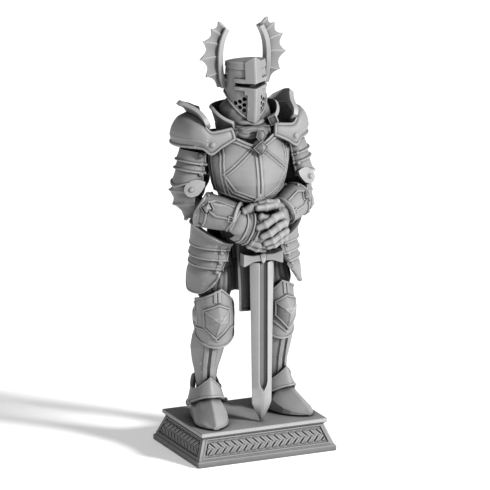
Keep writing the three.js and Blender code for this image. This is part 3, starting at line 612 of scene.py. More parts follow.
def breastplate():
    nu, nv = 170, 130
    u, v = grid(nu, nv)
    angle = np.radians(184 + 172 * u)
    x_rough = np.abs(np.cos(angle)) * 17
    top = np.interp(x_rough, [0, 1.2, 9, 11.5, 14, 17], [159.3, 159.6, 163.4, 163.9, 161.0, 156.5])
    low = np.interp(x_rough, [0, 8, 14, 17], [130.4, 131.0, 133.4, 135.5])
    z = low + (top - low) * v
    sheet = torso_at(angle + 0 * v, z)
    x = np.abs(sheet[..., 0])
    from_top, from_low = top - z, z - low
    r = 0.55 * inside(x, -5, 1.75) - 0.5 * (1 - smooth(x, 0.25, 0.5))
    r = np.maximum(r, -0.3) * smooth(from_top, 0.5, 1)
    for points in ([(2.4, 157.8), (17.3, 144.6)], [(17.3, 144.6), (12, 136.4), (2.0, 132.2)],
                   [(17.0, 158), (17.6, 150), (17.3, 144.6), (15.4, 137.5), (13.4, 131.8)]):
        d = line_distance(x, z, points)
        r = np.maximum(r, double_line(d, 0.72, 0.85, 0.42)) - 0.28 * bead(d, 0.55, 1) * (x > 1.9)
    neckline = inside(from_top, -1, 2.9) * (x < 13.2)
    r = np.maximum(r, 0.75 * neckline - 0.4 * bead(from_top - 1.45, 0.6, 1) * neckline)
    edge = np.minimum(from_low, (1 - np.abs(2 * u - 1)) * 27)
    r = np.maximum(r, rim(edge, 1.2, 0.5))
    p = Piece()
    shell(p, sheet, 1.1, r, centre=(0, 0, 145))
    y = sheet[nu // 2, :, 1].min()
    # The diamond clasp at the meeting of the neckline bands, with its upper stone.
    at = np.array([0.9, y + 0.4, 158.4])
    diamond = [at + np.array(d) for d in ((-4.0, 1.1, 0.3), (0, 0.4, -3.9), (4.0, 1.1, 0.3),
                                          (0.3, 0.9, 3.9))]
    pyramid(p, diamond, (0, -1, 0.12), 3.0, 0.12, 0.6)
    at = np.array([1.5, y + 1.7, 164.2])
    upper = [at + np.array(d) for d in ((-2.6, 0.9, -0.2), (-0.4, 0.0, -3.4), (2.6, 0.9, -0.2),
                                        (1.8, 1.6, 3.0), (-1.2, 1.6, 3.2))]
    pyramid(p, upper, (0, -1, 0.25), 1.8, 0.12, 0.5)
    # The arrow boss where the bands meet at the waist.
    at = np.array([0, y - 0.1, 132.6])
    boss = [at + np.array(d) for d in ((-3.6, 1.1, -1.2), (0, 0.3, 3.2), (3.6, 1.1, -1.2), (1.5, 0.8, -0.6),
                                       (0, 0.7, -1.6), (-1.5, 0.8, -0.6))]
    prism(p, boss, (0, 1, 0), (0, -0.8, 0))
    p.make("breastplate_shell", "torso", ["breastplate"], RESIN)


def backplate():
    nu, nv = 130, 100
    u, v = grid(nu, nv)
    angle = np.radians(4 + 172 * u)
    x_rough = np.abs(np.cos(angle)) * 17
    top = np.interp(x_rough, [0, 8, 14, 17], [162.5, 162.5, 160, 156.5])
    low = np.interp(x_rough, [0, 14, 17], [131.0, 133.4, 135.5])
    z = low + (top - low) * v
    sheet = torso_at(angle + 0 * v, z)
    x = np.abs(sheet[..., 0])
    r = 0.5 * inside(x, -5, 1.5) - 0.4 * (1 - smooth(x, 0.2, 0.45))
    for points in ([(1.6, 150), (12.5, 158.5)], [(1.6, 146), (13.5, 136)]):
        r = np.maximum(r, double_line(line_distance(x, z, points), 0.7, 0.8, 0.4))
    edge = np.minimum(np.minimum(top - z, z - low), (1 - np.abs(2 * u - 1)) * 27)
    r = np.maximum(r, rim(edge, 1.3, 0.55))
    p = Piece()
    shell(p, sheet, 1.1, r, centre=(0, 0, 145))
    p.make("backplate_shell", "torso", ["backplate"], RESIN)


def torso_core():
    """Padded coat under the plates, with the wrapped hood at the neck."""
    p = Piece()
    rings = []
    for z in np.linspace(123.2, 131, 12):
        a, b = np.interp(z, [123, 126, 131], [11.6, 12.6, 15.4]), np.interp(z, [123, 131], [8.0, 10.6])
        t = np.arange(72) / 72 * 2 * np.pi
        fold = 1 + 0.018 * np.cos(14 * t) * smooth(131 - z, 0, 3)
        rings.append(oval((0, np.interp(z, [123, 131], [-1.6, -5]), z), (a, 0, 0), (0, b, 0), 72, 2.3)
                     * np.stack([fold, fold, np.ones(72)], -1))
    for z in np.linspace(133, 158, 14):
        rings.append(torso_at(np.arange(72) / 72 * 2 * np.pi, np.full(72, z),
                              np.interp(z, [133, 140], [-0.7, -1.8])))
    for z, a, b, y in ((160.5, 15.2, 9.0, -3.2), (163, 12.6, 8.4, -2.6), (165.5, 10.2, 7.8, -2.2),
                       (168, 8.6, 7.0, -1.8)):
        rings.append(oval((0, y, z), (a, 0, 0), (0, b, 0), 72, 2.3))
    solid(p, rings)
    # Shoulder knuckles.
    for s in (RIGHT, LEFT):
        at = SHOULDER[s]
        limb(p, [(s * 12, at[1], at[2]), (s * 16, at[1], at[2]), (s * 20.4, at[1], at[2])], [5.2, 5.3, 5.1],
             count=36)
    # The hood's rolls round the neck: each is tipped down in front.
    for z, rx, ry, tip, thick, turn in ((166.4, 10.4, 9.0, 0.32, 2.0, 0.0),
                                        (168.8, 9.3, 8.6, 0.3, 1.8, 0.5),
                                        (171.4, 8.2, 7.9, 0.26, 1.6, 1.1),
                                        (174.2, 7.4, 7.2, 0.18, 1.5, 1.7)):
        t = np.linspace(0, 2 * np.pi, 90, endpoint=False)
        x = rx * np.cos(t)
        y = -2.2 + ry * np.sin(t)
        wave = 0.35 * np.sin(3 * t + turn) + 0.2 * np.sin(7 * t + turn * 2)
        path = np.stack([x, y, z + tip * (y + 2) + wave], -1)
        tube(p, path, thick * (1 + 0.12 * np.sin(5 * t + turn)), 14, closed=True)
    limb(p, [(0, -2, 164), (0, -1.6, 170), (0, -1.2, 176)], [(8.4, 7.8), (7.2, 7.0), (6.4, 6.4)], count=40)
    # The cowl that fills the collar up to the helm.
    rings = []
    t = np.arange(120) / 120 * 2 * np.pi
    for z, a, b, y in ((166, 13.0, 8.6, -0.8), (170, 13.2, 9.0, -0.4), (174, 13.0, 9.2, 0.2),
                       (176.6, 12.2, 8.9, 0.4),
                       (178.6, 10.4, 7.8, 0.6), (180.4, 8.2, 6.4, 0.8)):
        fold = 1 + 0.02 * np.sin(5 * t + z * 0.5) + 0.012 * np.sin(11 * t - z * 0.7)
        rings.append(oval((0, 0, 0), (a, 0, 0), (0, b, 0), 120, 2.2) * fold[:, None] + (0, y, z))
    dense = net(rows_first(rings), 120, 30)
    solid(p, dense.transpose(1, 0, 2)[:, :120])
    # The wedge of cloth that fills the neckline.
    nu, nv = 60, 40
    points = [[(-10, -9.5, 166.4), (-5.8, -11.6, 163.6), (0, -13.0, 160.6)],
              [(-6, -11.6, 168.2), (-2.8, -12.4, 165.2), (0.2, -13.2, 161.4)],
              [(6, -11.6, 168.2), (2.8, -12.4, 165.2), (0.2, -13.2, 161.4)],
              [(10, -9.5, 166.4), (5.8, -11.6, 163.6), (0.2, -13.0, 160.6)]]
    sheet = net(points, nu, nv)
    x, z = sheet[..., 0], sheet[..., 2]
    r = 0.3 * np.sin(z * 1.9 + np.abs(x) * 0.35) + 0.12 * np.sin(x * 1.3 + z)
    shell(p, sheet, 1.4, r, centre=(0, 0, 164))
    p.make("padded_coat", "torso", ["torso_core"], CLOTH_SHADED, angle=50)


def yoke():
    """Collar bed across the shoulders under the gorget."""
    p = Piece()
    rows = []
    for z, a, b, y in ((160.2, 16.4, 10.9, -1.6), (163.0, 15.6, 10.9, -1.4), (165.4, 14.6, 11.2, -1.0),
                       (167.6, 13.2, 11.0, -0.4)):
        rows.append(oval((0, y, z), (a, 0, 0), (0, b, 0), 120, 2.3))
    # The bed runs round the back and stops at each side of the neckline.
    open_in_front = np.r_[101:120, 0:80]
    sheet = net(np.array(rows).transpose(1, 0, 2)[open_in_front], 150, 30)
    _, _, v0, v1 = edge_distances(sheet)
    r = rim(np.minimum(v0, v1), 1.2, 0.45)
    shell(p, sheet, 1.0, r, centre=(0, 0, 160))
    p.make("collar_bed", "torso", ["yoke"], RESIN)


def gorget():
    """Flared collar plate, open in front, with a rolled rim and a strap plate on the left."""
    nu, nv = 190, 34
    u, v = grid(nu, nv)
    angle = np.radians(-52 + 284 * u)
    front = np.clip(-np.sin(angle), 0, 1)
    top = 176.8 - 7.6 * front ** 1.1
    low = 165.6 - 1.4 * front
    a = 14.6 + 3.2 * v ** 1.3
    b = 11.2 + 2.4 * v ** 1.3
    sheet = np.stack([a * np.cos(angle), 0.4 + b * np.sin(angle) - 0.6 * front * v, low + (top - low) * v],
                     -1)
    u0, u1, v0, v1 = edge_distances(sheet)
    edge = np.minimum(np.minimum(u0, u1), v1)
    r = rim(edge, 1.25, 0.55) + 0.25 * inside(v0, -1, 2.2)
    p = Piece()
    shell(p, sheet, 1.1, r, centre=(0, 0.4, 172))
    at = np.array([10.4, -10.6, 170.6])
    across, up = unit((0.62, -0.42, 0.5)), unit((-0.52, -0.1, 0.85))
    plate = [at + across * i + up * j for i, j in ((-2.0, -2.6), (2.2, -2.9), (2.6, 2.0), (-1.6, 2.6))]
    out = unit(np.cross(across, up))
    pyramid(p, plate, out if out[1] < 0 else -out, 0.3, 0.25, 0.8)
    p.make("gorget_collar", "torso", ["gorget"], RESIN)


# ---- helm -----------------------------------------------------------------------------------
HELM_Y = -1.4
# Half of the helm's plan, from the keel in front round to the middle of the back.
HELM_PLAN = np.array([(0, -11.4), (3.9, -8.9), (7.4, -6.3), (9.7, -3.0), (10.15, 0.8), (9.3, 4.8),
                      (6.2, 8.0), (0, 9.4)])


def helm_plan(t):
    """Half plan at t from 0 (keel) to 1 (back), and the distance along it from the keel."""
    fine = weights(np.linspace(0, 1, 201), len(HELM_PLAN)) @ HELM_PLAN
    run = np.concatenate([[0], np.cumsum(np.linalg.norm(np.diff(fine, axis=0), axis=1))])
    s = t * run[-1]
    return np.interp(s, run, fine[:, 0]), np.interp(s, run, fine[:, 1]), s


def helm_scale(z):
    return np.interp(z, [170, 174, 180, 184, 190, 195, 199.6, 203.5],
                     [0.9, 0.955, 0.99, 1.0, 1.0, 0.975, 0.925, 0.9])


def helm():
    nu, nv = 300, 150
    u = np.linspace(0, 1, nu + 1)[:-1][:, None]
    v = np.linspace(0, 1, nv + 1)[None, :]
    t = np.abs(2 * u - 1)
    side = np.sign(u - 0.5)
    x, y, s = helm_plan(t)
    low = np.interp(s, [0, 3, 6.8, 11, 14.6, 18, 22, 30],
                    [170.5, 171.4, 173.4, 177.2, 181.0, 182.8, 183.4, 182.6])
    gable = inside(s, -9, 4.8, 0.1)
    rim_top = 200.6 - 1.9 * smooth(s, 8, 28)
    top = rim_top + gable * np.clip(200.8 + 2.6 * (1 - s / 4.8) - rim_top, 0, 9)
    z = top + (low - top) * v
    scale = helm_scale(z)
    sheet = np.stack([side * x * scale, HELM_Y + y * scale, z], -1)
    s = s * scale
    brow = inside(s, -9, 4.8) * inside(z, 190.2, 210)
    strip = inside(s, -9, 3.8) * inside(z, 160, 188.1)
    bar_high = inside(s, -9, 10.6, 0.3) * inside(z, 190.2, 192.4)
    bar_low = np.maximum(inside(s, -9, 10.6, 0.3) * inside(z, 186.6, 188.4),
                         inside(s, -9, 5.3) * inside(z, 184.2, 188.1))
    raised = np.maximum.reduce([brow, strip, bar_high, bar_low])
    r = 0.95 * raised
    r = np.maximum(r, 0.5 * inside(z, 197.0, 210) * (s > 4.8))
    r = np.maximum(r, rim((z - low) * 0.9, 1.4, 0.75))
    dip = np.interp(s, [0, 11], [187.9, 188.9])
    slit = inside(z, dip, dip + 1.6, 0.12) * inside(s, -9, 9.9, 0.2)
    r = r * (1 - slit) - 3.4 * slit
    for hs, hz in ((5.4, 182.2), (5.4, 179.2), (5.4, 176.3), (7.7, 180.8), (7.6, 177.8), (9.9, 179.9)):
        hole = 1 - smooth(np.hypot(s - hs, z - hz), 0.8, 1.05)
        r = r * (1 - hole) - 3.2 * hole
    p = Piece()
    shell(p, sheet, 3.7 - 2.9 * smooth(z, 192.5, 197) + 0 * s, r, centre=(0, HELM_Y, 188), closed=True)
    # Crown plate.
    rings = []
    plan = np.linspace(0, 1, nu + 1)[:-1]
    px, py, _ = helm_plan(np.abs(2 * plan - 1))
    sign = np.sign(plan - 0.5)
    for k, zc in ((0.86, 198.4), (0.89, 199.6), (0.88, 200.3), (0.82, 200.5), (0.6, 200.6), (0.3, 200.7),
                  (0.05, 200.7)):
        rings.append(np.stack([sign * px * k, HELM_Y + py * k * 0.99 + 0.1, zc - 0.6 - 0.085 * py * k], -1))
    solid(p, rings)
    # Dark lining that closes the slit and the breaths.
    rings = []
    for k, zc in ((0.5, 183), (0.66, 184), (0.66, 192), (0.5, 193)):
        rings.append(np.stack([sign * px * k, HELM_Y + py * k, np.full(nu, zc)], -1)[::4])
    solid(p, rings)
    for k in (RIGHT, LEFT):
        for z in (190.7, 194.1):
            rivet(p, (k * 10.0, -1.0, z), (k, -0.15, 0), 0.7, 0.45)
    p.make("great_helm", "head", ["helm"], RESIN, angle=30)


WING_SPINE = [(10.6, 186.5), (12.0, 190.6), (12.7, 195), (12.95, 200), (12.9, 204), (12.3, 208.6),
              (11.0, 212.6), (9.2, 216.2)]
# Rib roots and tips, from the lowest to the highest.
WING_RIBS = [((11.2, 189.2), (14.0, 186.9)), ((13.3, 194.4), (20.0, 192.7)), ((14.1, 202.2), (23.2, 201.5)),
             ((13.7, 208.4), (21.5, 210.4)), ((12.3, 213.0), (17.2, 216.3)), ((10.4, 216.4), (13.4, 219.6))]


def crest_wing(s, name):
    p = Piece()
    y0 = 2.0
    spine = curve([(x, y0, z) for x, z in WING_SPINE], 60)
    tangents = np.gradient(spine, axis=0)
    rings = []
    for q, t in zip(spine, tangents):
        t = unit(t)
        u = unit(np.cross((0, 1, 0), t))
        w, d, c = 1.35, 2.35, 0.35
        section = [(-w, -d + c), (-w + c, -d), (w - c, -d), (w, -d + c), (w + 0.15, 0),
                   (w, d - c), (w - c, d), (-w + c, d), (-w, d - c)]
        rings.append([q + u * i + np.array((0, j, 0)) for i, j in section])
    solid(p, mirror(rings, s))
    # The web: between two ribs its outer edge hangs in, and its face is dished.
    nv = 34
    roots = np.array([root for root, _ in WING_RIBS])
    tips = np.array([tip for _, tip in WING_RIBS])
    per = 16
    rows, dish = [], []
    for k in range(len(roots) - 1):
        for i in range(per + (k == len(roots) - 2)):
            f = i / per
            root = roots[k] * (1 - f) + roots[k + 1] * f
            edge = tips[k] * (1 - f) + tips[k + 1] * f
            sag = math.sin(math.pi * f)
            edge = edge + (root - edge) * (0.27 * sag)
            v = np.linspace(-0.12, 1, nv)[:, None]
            line = root * (1 - v) + edge * v
            rows.append(np.concatenate([line[:, :1], np.full((nv, 1), y0), line[:, 1:]], 1))
            dish.append(np.full(nv, -0.45 * sag))
    sheet = np.array(rows)
    swell = (0.75 + np.array(dish))[..., None] * (0, 1, 0)
    loop = np.concatenate([sheet + swell, (sheet - swell)[:, ::-1]], 1)
    solid(p, mirror(loop, s))
    for (rx, rz), (tx, tz) in WING_RIBS:
        out = np.array((tx - rx, 0, tz - rz))
        path = np.array([(rx, y0, rz)]) + np.linspace(-0.15, 1.03, 14)[:, None] * out
        path[:, 2] += 0.35 * np.sin(np.linspace(0, math.pi, 14)) * np.sign(rz - 195)
        radius = np.interp(np.linspace(0, 1, 14), [0, 0.8, 1], [0.98, 0.82, 0.4])
        tube(p, mirror(path, s), radius, 12)
    # Collar that seats the wing on the helm.
    limb(p, mirror([(8.6, y0, 189), (10.2, y0, 190.5), (11.6, y0, 192)], s),
         [(2.6, 2.6), (2.3, 2.5), (1.6, 2.2)], count=20)
    p.make(f"crest_wing_{name}_horn", "head", [f"crest_wing_{name}"], RESIN, angle=28)


# ---- shoulders and arms (drawn for the figure's left, mirrored for the right) -----------------
PAULDRON_NET = [
    [(11.5, -10.0, 168.6), (10.9, -11.1, 166.7), (10.5, -11.8, 164.7), (10.2, -12.2, 162.5)],
    [(14.6, -9.9, 168.2), (14.2, -11.6, 166.2), (13.8, -12.3, 163.6), (13.4, -12.3, 161.0)],
    [(18.4, -9.2, 167.5), (18.4, -11.4, 165.3), (18.3, -12.1, 162.2), (18.0, -11.8, 158.7)],
    [(22.6, -8.2, 167.4), (23.0, -10.6, 165.2), (23.3, -11.5, 160.6), (22.9, -10.9, 155.6)],
    [(25.4, -6.4, 171.3), (27.2, -8.6, 168.2), (27.8, -9.1, 162.8), (26.2, -8.6, 158.2)],
    [(26.4, -2.0, 173.0), (30.4, -4.4, 170.6), (32.4, -4.8, 164.8), (31.0, -4.6, 158.6)],
    [(27.4, 3.6, 173.8), (32.6, 2.8, 171.4), (35.8, 2.6, 165.0), (35.2, 2.6, 158.2)],
    [(27.6, 9.0, 173.6), (32.4, 10.2, 170.8), (35.6, 10.8, 164.8), (35.2, 10.8, 158.0)],
    [(25.8, 13.6, 172.6), (29.0, 16.4, 169.6), (31.2, 17.4, 164.0), (30.8, 17.2, 158.0)],
    [(21.4, 15.4, 171.6), (22.8, 18.6, 168.4), (23.8, 19.5, 163.6), (23.6, 19.2, 158.2)],
    [(17.8, 14.8, 170.6), (17.8, 17.4, 168.0), (17.8, 18.3, 164.0), (17.8, 18.0, 159.6)],
]
GUARD_FOOT = [(22.8, -8.0, 167.6), (25.2, -6.2, 171.0), (26.0, -1.6, 172.6), (26.8, 3.8, 173.2),
              (26.8, 9.2, 172.8), (25.2, 13.2, 172.0), (21.2, 15.0, 171.2), (17.8, 14.4, 170.3)]
GUARD_RIM = [(24.2, -9.0, 171.0), (25.2, -7.2, 174.0), (26.1, -1.4, 176.3), (28.2, 4.6, 177.7),
             (30.8, 11.0, 178.4), (29.0, 16.2, 177.1), (23.2, 17.2, 175.4), (18.2, 15.6, 173.6)]


def pauldron(s, name):
    p = Piece()
    sheet = net(PAULDRON_NET, 200, 90)
    u0, u1, v0, v1 = edge_distances(sheet)
    edge = np.minimum(np.minimum(u0, u1), v1)
    top = np.where(u0 < 15.5, v0, 99)
    r = rim(np.minimum(edge, top), 1.7, 0.85)
    crease = bead(v1 - 4.6, 1.6, 0.22) * smooth(u0, 15, 22) * (1 - smooth(u0, 52, 60))
    r = np.maximum(r, crease)
    shell(p, mirror(sheet, s), 1.2, r, centre=(s * 22, 5, 152))
    rivet(p, mirror((22.6, -11.6, 161.2), s), mirror((0.22, -1, 0.1), s), 1.35, 0.95)
    p.make(f"shoulder_guard_{name}", f"pauldron_{name}", [f"pauldron_{name}"], RESIN)


def neck_guard(s, name):
    p = Piece()
    foot, top = np.array(GUARD_FOOT), np.array(GUARD_RIM)
    middle = (foot + top) / 2
    away = np.zeros_like(middle)
    away[:, :2] = middle[:, :2] - np.array((20.0, 5.0))
    away /= np.linalg.norm(away, axis=1, keepdims=True)
    rows = [foot, foot * 0.7 + top * 0.3 - away * 0.5, middle - away * 0.5, top]
    sheet = net(np.array(rows).transpose(1, 0, 2), 150, 44)
    u0, u1, v0, v1 = edge_distances(sheet)
    r = 0.9 * inside(v1, -1, 1.8, 0.14) * smooth(u0, -0.5, 0.4)
    shell(p, mirror(sheet, s), 1.5, r, centre=(s * 20, 5, 170))
    p.make(f"neck_guard_wall_{name}", f"pauldron_{name}", [f"neck_guard_{name}"], RESIN)


def rerebrace(s, name):
    p = Piece()
    nu, nv = 130, 110
    lames = (0.0, 0.36, 0.62, 1.0)
    top, end = np.array((26.0, 3.0, 155.4)), np.array((29.2, 2.0, 139.2))
    a = np.radians(np.linspace(-112, 118, nu + 1))[:, None]
    v = np.linspace(0, 1, nv + 1)[None, :]
    drop = 1 + 0.16 * hump(np.degrees(a), 12, 34) - 0.04 * hump(np.degrees(a), 70, 20)
    t = v * np.where(v > 0.62, 0.62 / v.clip(0.01) + (drop - 0.62) * (v - 0.62) / 0.38 / v.clip(0.01), 1)
    flare = np.zeros_like(t + a)
    ridge = np.zeros_like(flare)
    for k in range(3):
        f = (v - lames[k]) / (lames[k + 1] - lames[k])
        here = (f >= 0) & (f < 1.0001)
        flare = np.where(here, 0.9 * f ** 2, flare)
        from_end = (1 - f) * (lames[k + 1] - lames[k]) * 18
        ridge = np.where(here, rim(from_end, 1.2, 0.42), ridge)
    axis = unit(end - top)
    front = frame_of(axis, (1, 0, 0))
    radius = 7.6 + 0.5 * t + 1.25 * flare + 1.3 * ridge
    centre = top + (end - top) * t[..., None] + 0 * a[..., None]
    sheet = centre + (np.cos(a) * radius)[..., None] * front[0] + (np.sin(a) * radius)[..., None] * front[1]
    u0, u1, _, _ = edge_distances(sheet)
    shell(p, mirror(sheet, s), 0.9, rim(np.minimum(u0, u1), 1.1, 0.35), centre=(s * 29.4, 3, 148))
    for z, y, x in ((154.8, -4.9, 25.8), (150.4, -5.4, 26.0), (145.4, -6.0, 26.4)):
        rivet(p, mirror((x, y - 0.4, z), s), mirror((-0.25, -1, 0.05), s), 0.95, 0.75)
    p.make(f"arm_lames_{name}", f"arm_{name}", [f"rerebrace_{name}"], RESIN)


def upper_arm(s, name):
    p = Piece()
    shift = 0.7 if s > 0 else 0.0

    def folds(t, a):
        wave = np.sin(2 * np.pi * (t * 5.0 + 0.6 * np.sin(2 * np.pi * a) + shift))
        return 0.05 * wave * smooth(t, 0.45, 0.7)

    path = curve([(24.4, 4.8, 161.5), (24.2, 5.2, 156), (24.8, 5.2, 147), (25.6, 5.0, 140),
                  (28.8, 3.2, 132.6)], 50)
    t, marks = np.linspace(0, 1, 51), [0, 0.3, 0.6, 0.8, 1]
    radii = np.stack([np.interp(t, marks, [5.6, 7.8, 8.0, 7.6, 6.0]),
                      np.interp(t, marks, [5.4, 6.0, 6.2, 6.4, 6.2])], -1)
    limb(p, mirror(path, s), radii, (s, 0, 0), 56, folds=folds)
    p.make(f"sleeve_upper_{name}", f"arm_{name}", [f"upper_arm_{name}"], CLOTH_SHADED, angle=60)


FAN_HUB = [(33.0, -3.6, 139.4), (31.2, -6.4, 136.8), (30.7, -7.8, 134.0), (30.6, -8.2, 130.6),
           (30.8, -8.0, 127.2), (31.4, -7.2, 124.0)]
FAN_EDGE = [(36.0, 2.5, 140.3), (36.9, 9.6, 134.9), (36.4, 5.2, 131.6), (36.7, 5.2, 128.4),
            (34.6, -0.6, 126.6), (33.5, -5.2, 122.3)]


def couter(s, name):
    p = Piece()
    # The fan behind the elbow: three points with hollows between, each point on a rib.
    hub, tips = np.array(FAN_HUB), np.array(FAN_EDGE)
    outline, base = [], []
    for k in range(5):
        for i in range(12 + (k == 4)):
            f = i / 12
            outline.append(tips[k] * (1 - f) + tips[k + 1] * f)
            base.append(hub[k] * (1 - f) + hub[k + 1] * f)
    outline, base = np.array(outline), np.array(base)
    v = np.linspace(0, 1, 28)[None, :, None]
    sheet = base[:, None] * (1 - v) + outline[:, None] * v
    bow = np.sin(np.linspace(0, 1, 28) * np.pi)[None, :]
    sheet[..., 0] += 2.7 * bow
    ribs = np.zeros(sheet.shape[:2])
    for k in (1, 3, 5):
        rib = min(12 * k, len(outline) - 1)
        centre = sheet[rib][None]
        ribs = np.maximum(ribs, 0.55 * hump(np.linalg.norm(sheet - centre, axis=-1), 0, 0.9))
    shell(p, mirror(sheet, s), 1.0, ribs, centre=(s * 20, 2, 131))
    # The cap over the point of the elbow.
    nu, nv = 70, 50
    a = np.radians(np.linspace(52, 176, nu + 1))[:, None]
    b = np.radians(np.linspace(-54, 62, nv + 1))[None, :]
    radius = 5.6 + 0.8 * np.cos(b) ** 6
    cap = np.stack([31.4 + radius * np.cos(b) * np.cos(a), 2 + radius * np.cos(b) * np.sin(a),
                    132.4 + 7.2 * np.sin(b) + 0 * a], -1)
    shell(p, mirror(cap, s), 0.9, rim(border(cap), 1.1, 0.4), centre=(s * 31.4, 2, 132.4))
    # The leaf in front, with its rivet.
    at, out = np.array((32.2, -7.2, 138.1)), unit((0.42, -0.88, 0.22))
    tip = unit(np.array((25.2, -8.9, 141.6)) - at)
    up = unit(np.cross(tip, out))
    up = up if up[2] > 0 else -up
    leaf = [at + tip * x + up * z for x, z in (
        [(-3.6 * math.cos(k), -3.7 * math.sin(k)) for k in np.linspace(1.3, -1.3, 14)]
        + [(1.8, 4.0), (4.2, 3.4), (6.2, 2.1), (7.9, 0.3), (6.6, -1.6), (4.2, -3.0), (1.8, -3.9)])]
    prism(p, mirror(leaf, s), mirror(out * -1.2, s), mirror(out * 0.5, s), 0.8)
    rivet(p, mirror(at + out * 0.4, s), mirror(out, s), 1.25, 0.95)
    p.make(f"elbow_guard_{name}", f"arm_{name}", [f"couter_{name}", f"elbow_pin_{name}"], RESIN)


def forearm(s, name):
    p = Piece()

    def folds(t, a):
        return 0.045 * np.sin(2 * np.pi * (t * 6 + 0.5 * np.sin(2 * np.pi * a))) * (1 - smooth(t, 0.3, 0.5))

    path = curve([(31.6, 2.6, 132.2), (30.4, -0.6, 130.0), (27.0, -5.0, 128.0), (20, -10.6, 126.4),
                  (13.0, -16.2, 125.0)], 50)
    limb(p, mirror(path, s), np.interp(np.linspace(0, 1, 51), [0, 0.25, 0.6, 1], [5.3, 5.6, 5.2, 3.9]),
         (0, 0, 1), 48, folds=folds)
    p.make(f"sleeve_lower_{name}", f"forearm_{name}", [f"forearm_{name}"], CLOTH_SHADED, angle=60)


def vambrace(s, name):
    """Forearm tube: riveted elbow band, a cut diamond with straps, and a rosette by the wrist."""
    nu, nv = 200, 110
    start, end = np.array((28.8, -3.4, 127.9)), np.array((12.2, -16.8, 124.2))
    axis = unit(end - start)
    length = np.linalg.norm(end - start)
    up, _ = frame_of(axis, (0, 0, 1))
    out = np.cross(axis, up)
    out = out if out[1] < 0 else -out
    a = np.linspace(-math.pi, math.pi, nu + 1)[:-1][:, None]
    v = np.linspace(0, 1, nv + 1)[None, :]
    rise, face = np.sin(a), np.cos(a)
    t0 = 0.09 + 0.12 * smooth(rise, -0.2, 1.0)
    t1 = 1.06 - 0.16 * smooth(-rise, -0.2, 1.0)
    t = t0 + (t1 - t0) * v
    radius = np.interp(t, [0, 0.12, 0.35, 0.65, 0.93, 1.06], [7.5, 8.5, 9.0, 8.5, 7.4, 7.8])
    # The front is laid in three flats, as a beaten plate would be.
    flat = np.maximum.reduce([np.cos(a - math.radians(k)) for k in (0, 52, -52, 104, -104, 180)])
    radius = radius * (0.9 + 0.1 / np.maximum(flat, 0.6) * 0.93)
    sheet = (start + axis * (t * length)[..., None]
             + (rise * radius * 0.98)[..., None] * up + (face * radius)[..., None] * out)
    w, l = a * 8.6 + 0 * t, t * length
    r = 0.5 * inside(l, -30, 4.9, 0.2)
    d = polygon_distance(l, w, [(5.4, 3.6), (8.1, 6.7), (10.9, 3.8), (8.3, 0.7)])
    stone = np.clip(-d, 0, 9)
    r = np.maximum(r, np.where(d < 0, 0.3 + stone * 1.25, 0))
    r = np.maximum(r, bead(d - 0.5, 0.9, 0.7)) - 0.5 * bead(np.abs(d - 0.5) - 0.65, 0.3, 1)
    for line in ([(9.8, 2.4), (13.0, 0.8), (20.8, 0.8)], [(8.3, 0.7), (8.0, -3.6), (6.4, -8.5)],
                 [(8.1, 6.7), (11.0, 8.8), (20.5, 8.6)]):
        e = line_distance(l, w, line)
        r = np.maximum(r, bead(e, 1.2, 0.7)) - 0.5 * bead(np.abs(e) - 0.8, 0.35, 1)
    square = np.maximum(np.abs(l - 20.9), np.abs(w - 0.8))
    ring = np.hypot(l - 20.9, w - 0.8)
    r = np.maximum(r, 0.75 * (1 - smooth(square, 1.55, 1.85)) - 0.5 * (1 - smooth(ring, 0.85, 1.05))
                   + 0.45 * (1 - smooth(ring, 0.35, 0.6)))
    edge = np.minimum((t - t0), (t1 - t)) * length
    r = np.maximum(r, rim(edge, 1.4, 0.65))
    p = Piece()
    middle = mirror((start + end) / 2, s)
    shell(p, mirror(sheet, s), 1.3, r, centre=middle, closed=True)
    for turn in (-84, -42, 30, 72, 120, 200, 240):
        k = math.radians(turn)
        at = start + axis * (5.0 + 1.6 * max(0, math.sin(k))) + (up * math.sin(k) + out * math.cos(k)) * 9.0
        rivet(p, mirror(at, s), mirror(up * math.sin(k) + out * math.cos(k), s), 0.75, 0.6)
    p.make(f"forearm_guard_{name}", f"forearm_{name}", [f"vambrace_{name}"], RESIN, angle=30)


# ---- hands ------------------------------------------------------------------------------------
def phalanx(p, a, b, ra, rb, squash=0.9):
    """Armoured finger joint: a swollen segment with a raised cuff at its root."""
    a, b = np.asarray(a, float), np.asarray(b, float)
    t = np.linspace(0, 1, 14)
    path = a + (b - a) * t[:, None]
    radius = ra * 1.04 + (rb - ra) * t + 0.3 * hump(t, 0.12, 0.15) - 0.06 * hump(t, 0.5, 0.14)
    limb(p, path, np.stack([radius, radius * squash], -1), (0, 0, 1), 24)


def finger(p, points, radii):
    for (a, b), (ra, rb) in zip(zip(points[:-1], points[1:]), zip(radii[:-1], radii[1:])):
        phalanx(p, a, b, ra, rb)


def cuff(p, places, axis):
    """Overlapping lames round the wrist: each place is a centre and a radius."""
    for centre, r in places:
        profile = [(r - 1.2, -1.2), (r - 0.2, -1.2), (r + 0.1, 0.6), (r - 0.1, 1.1), (r - 1.2, 1.1)]
        lathe(p, profile, centre, unit(axis), 40)


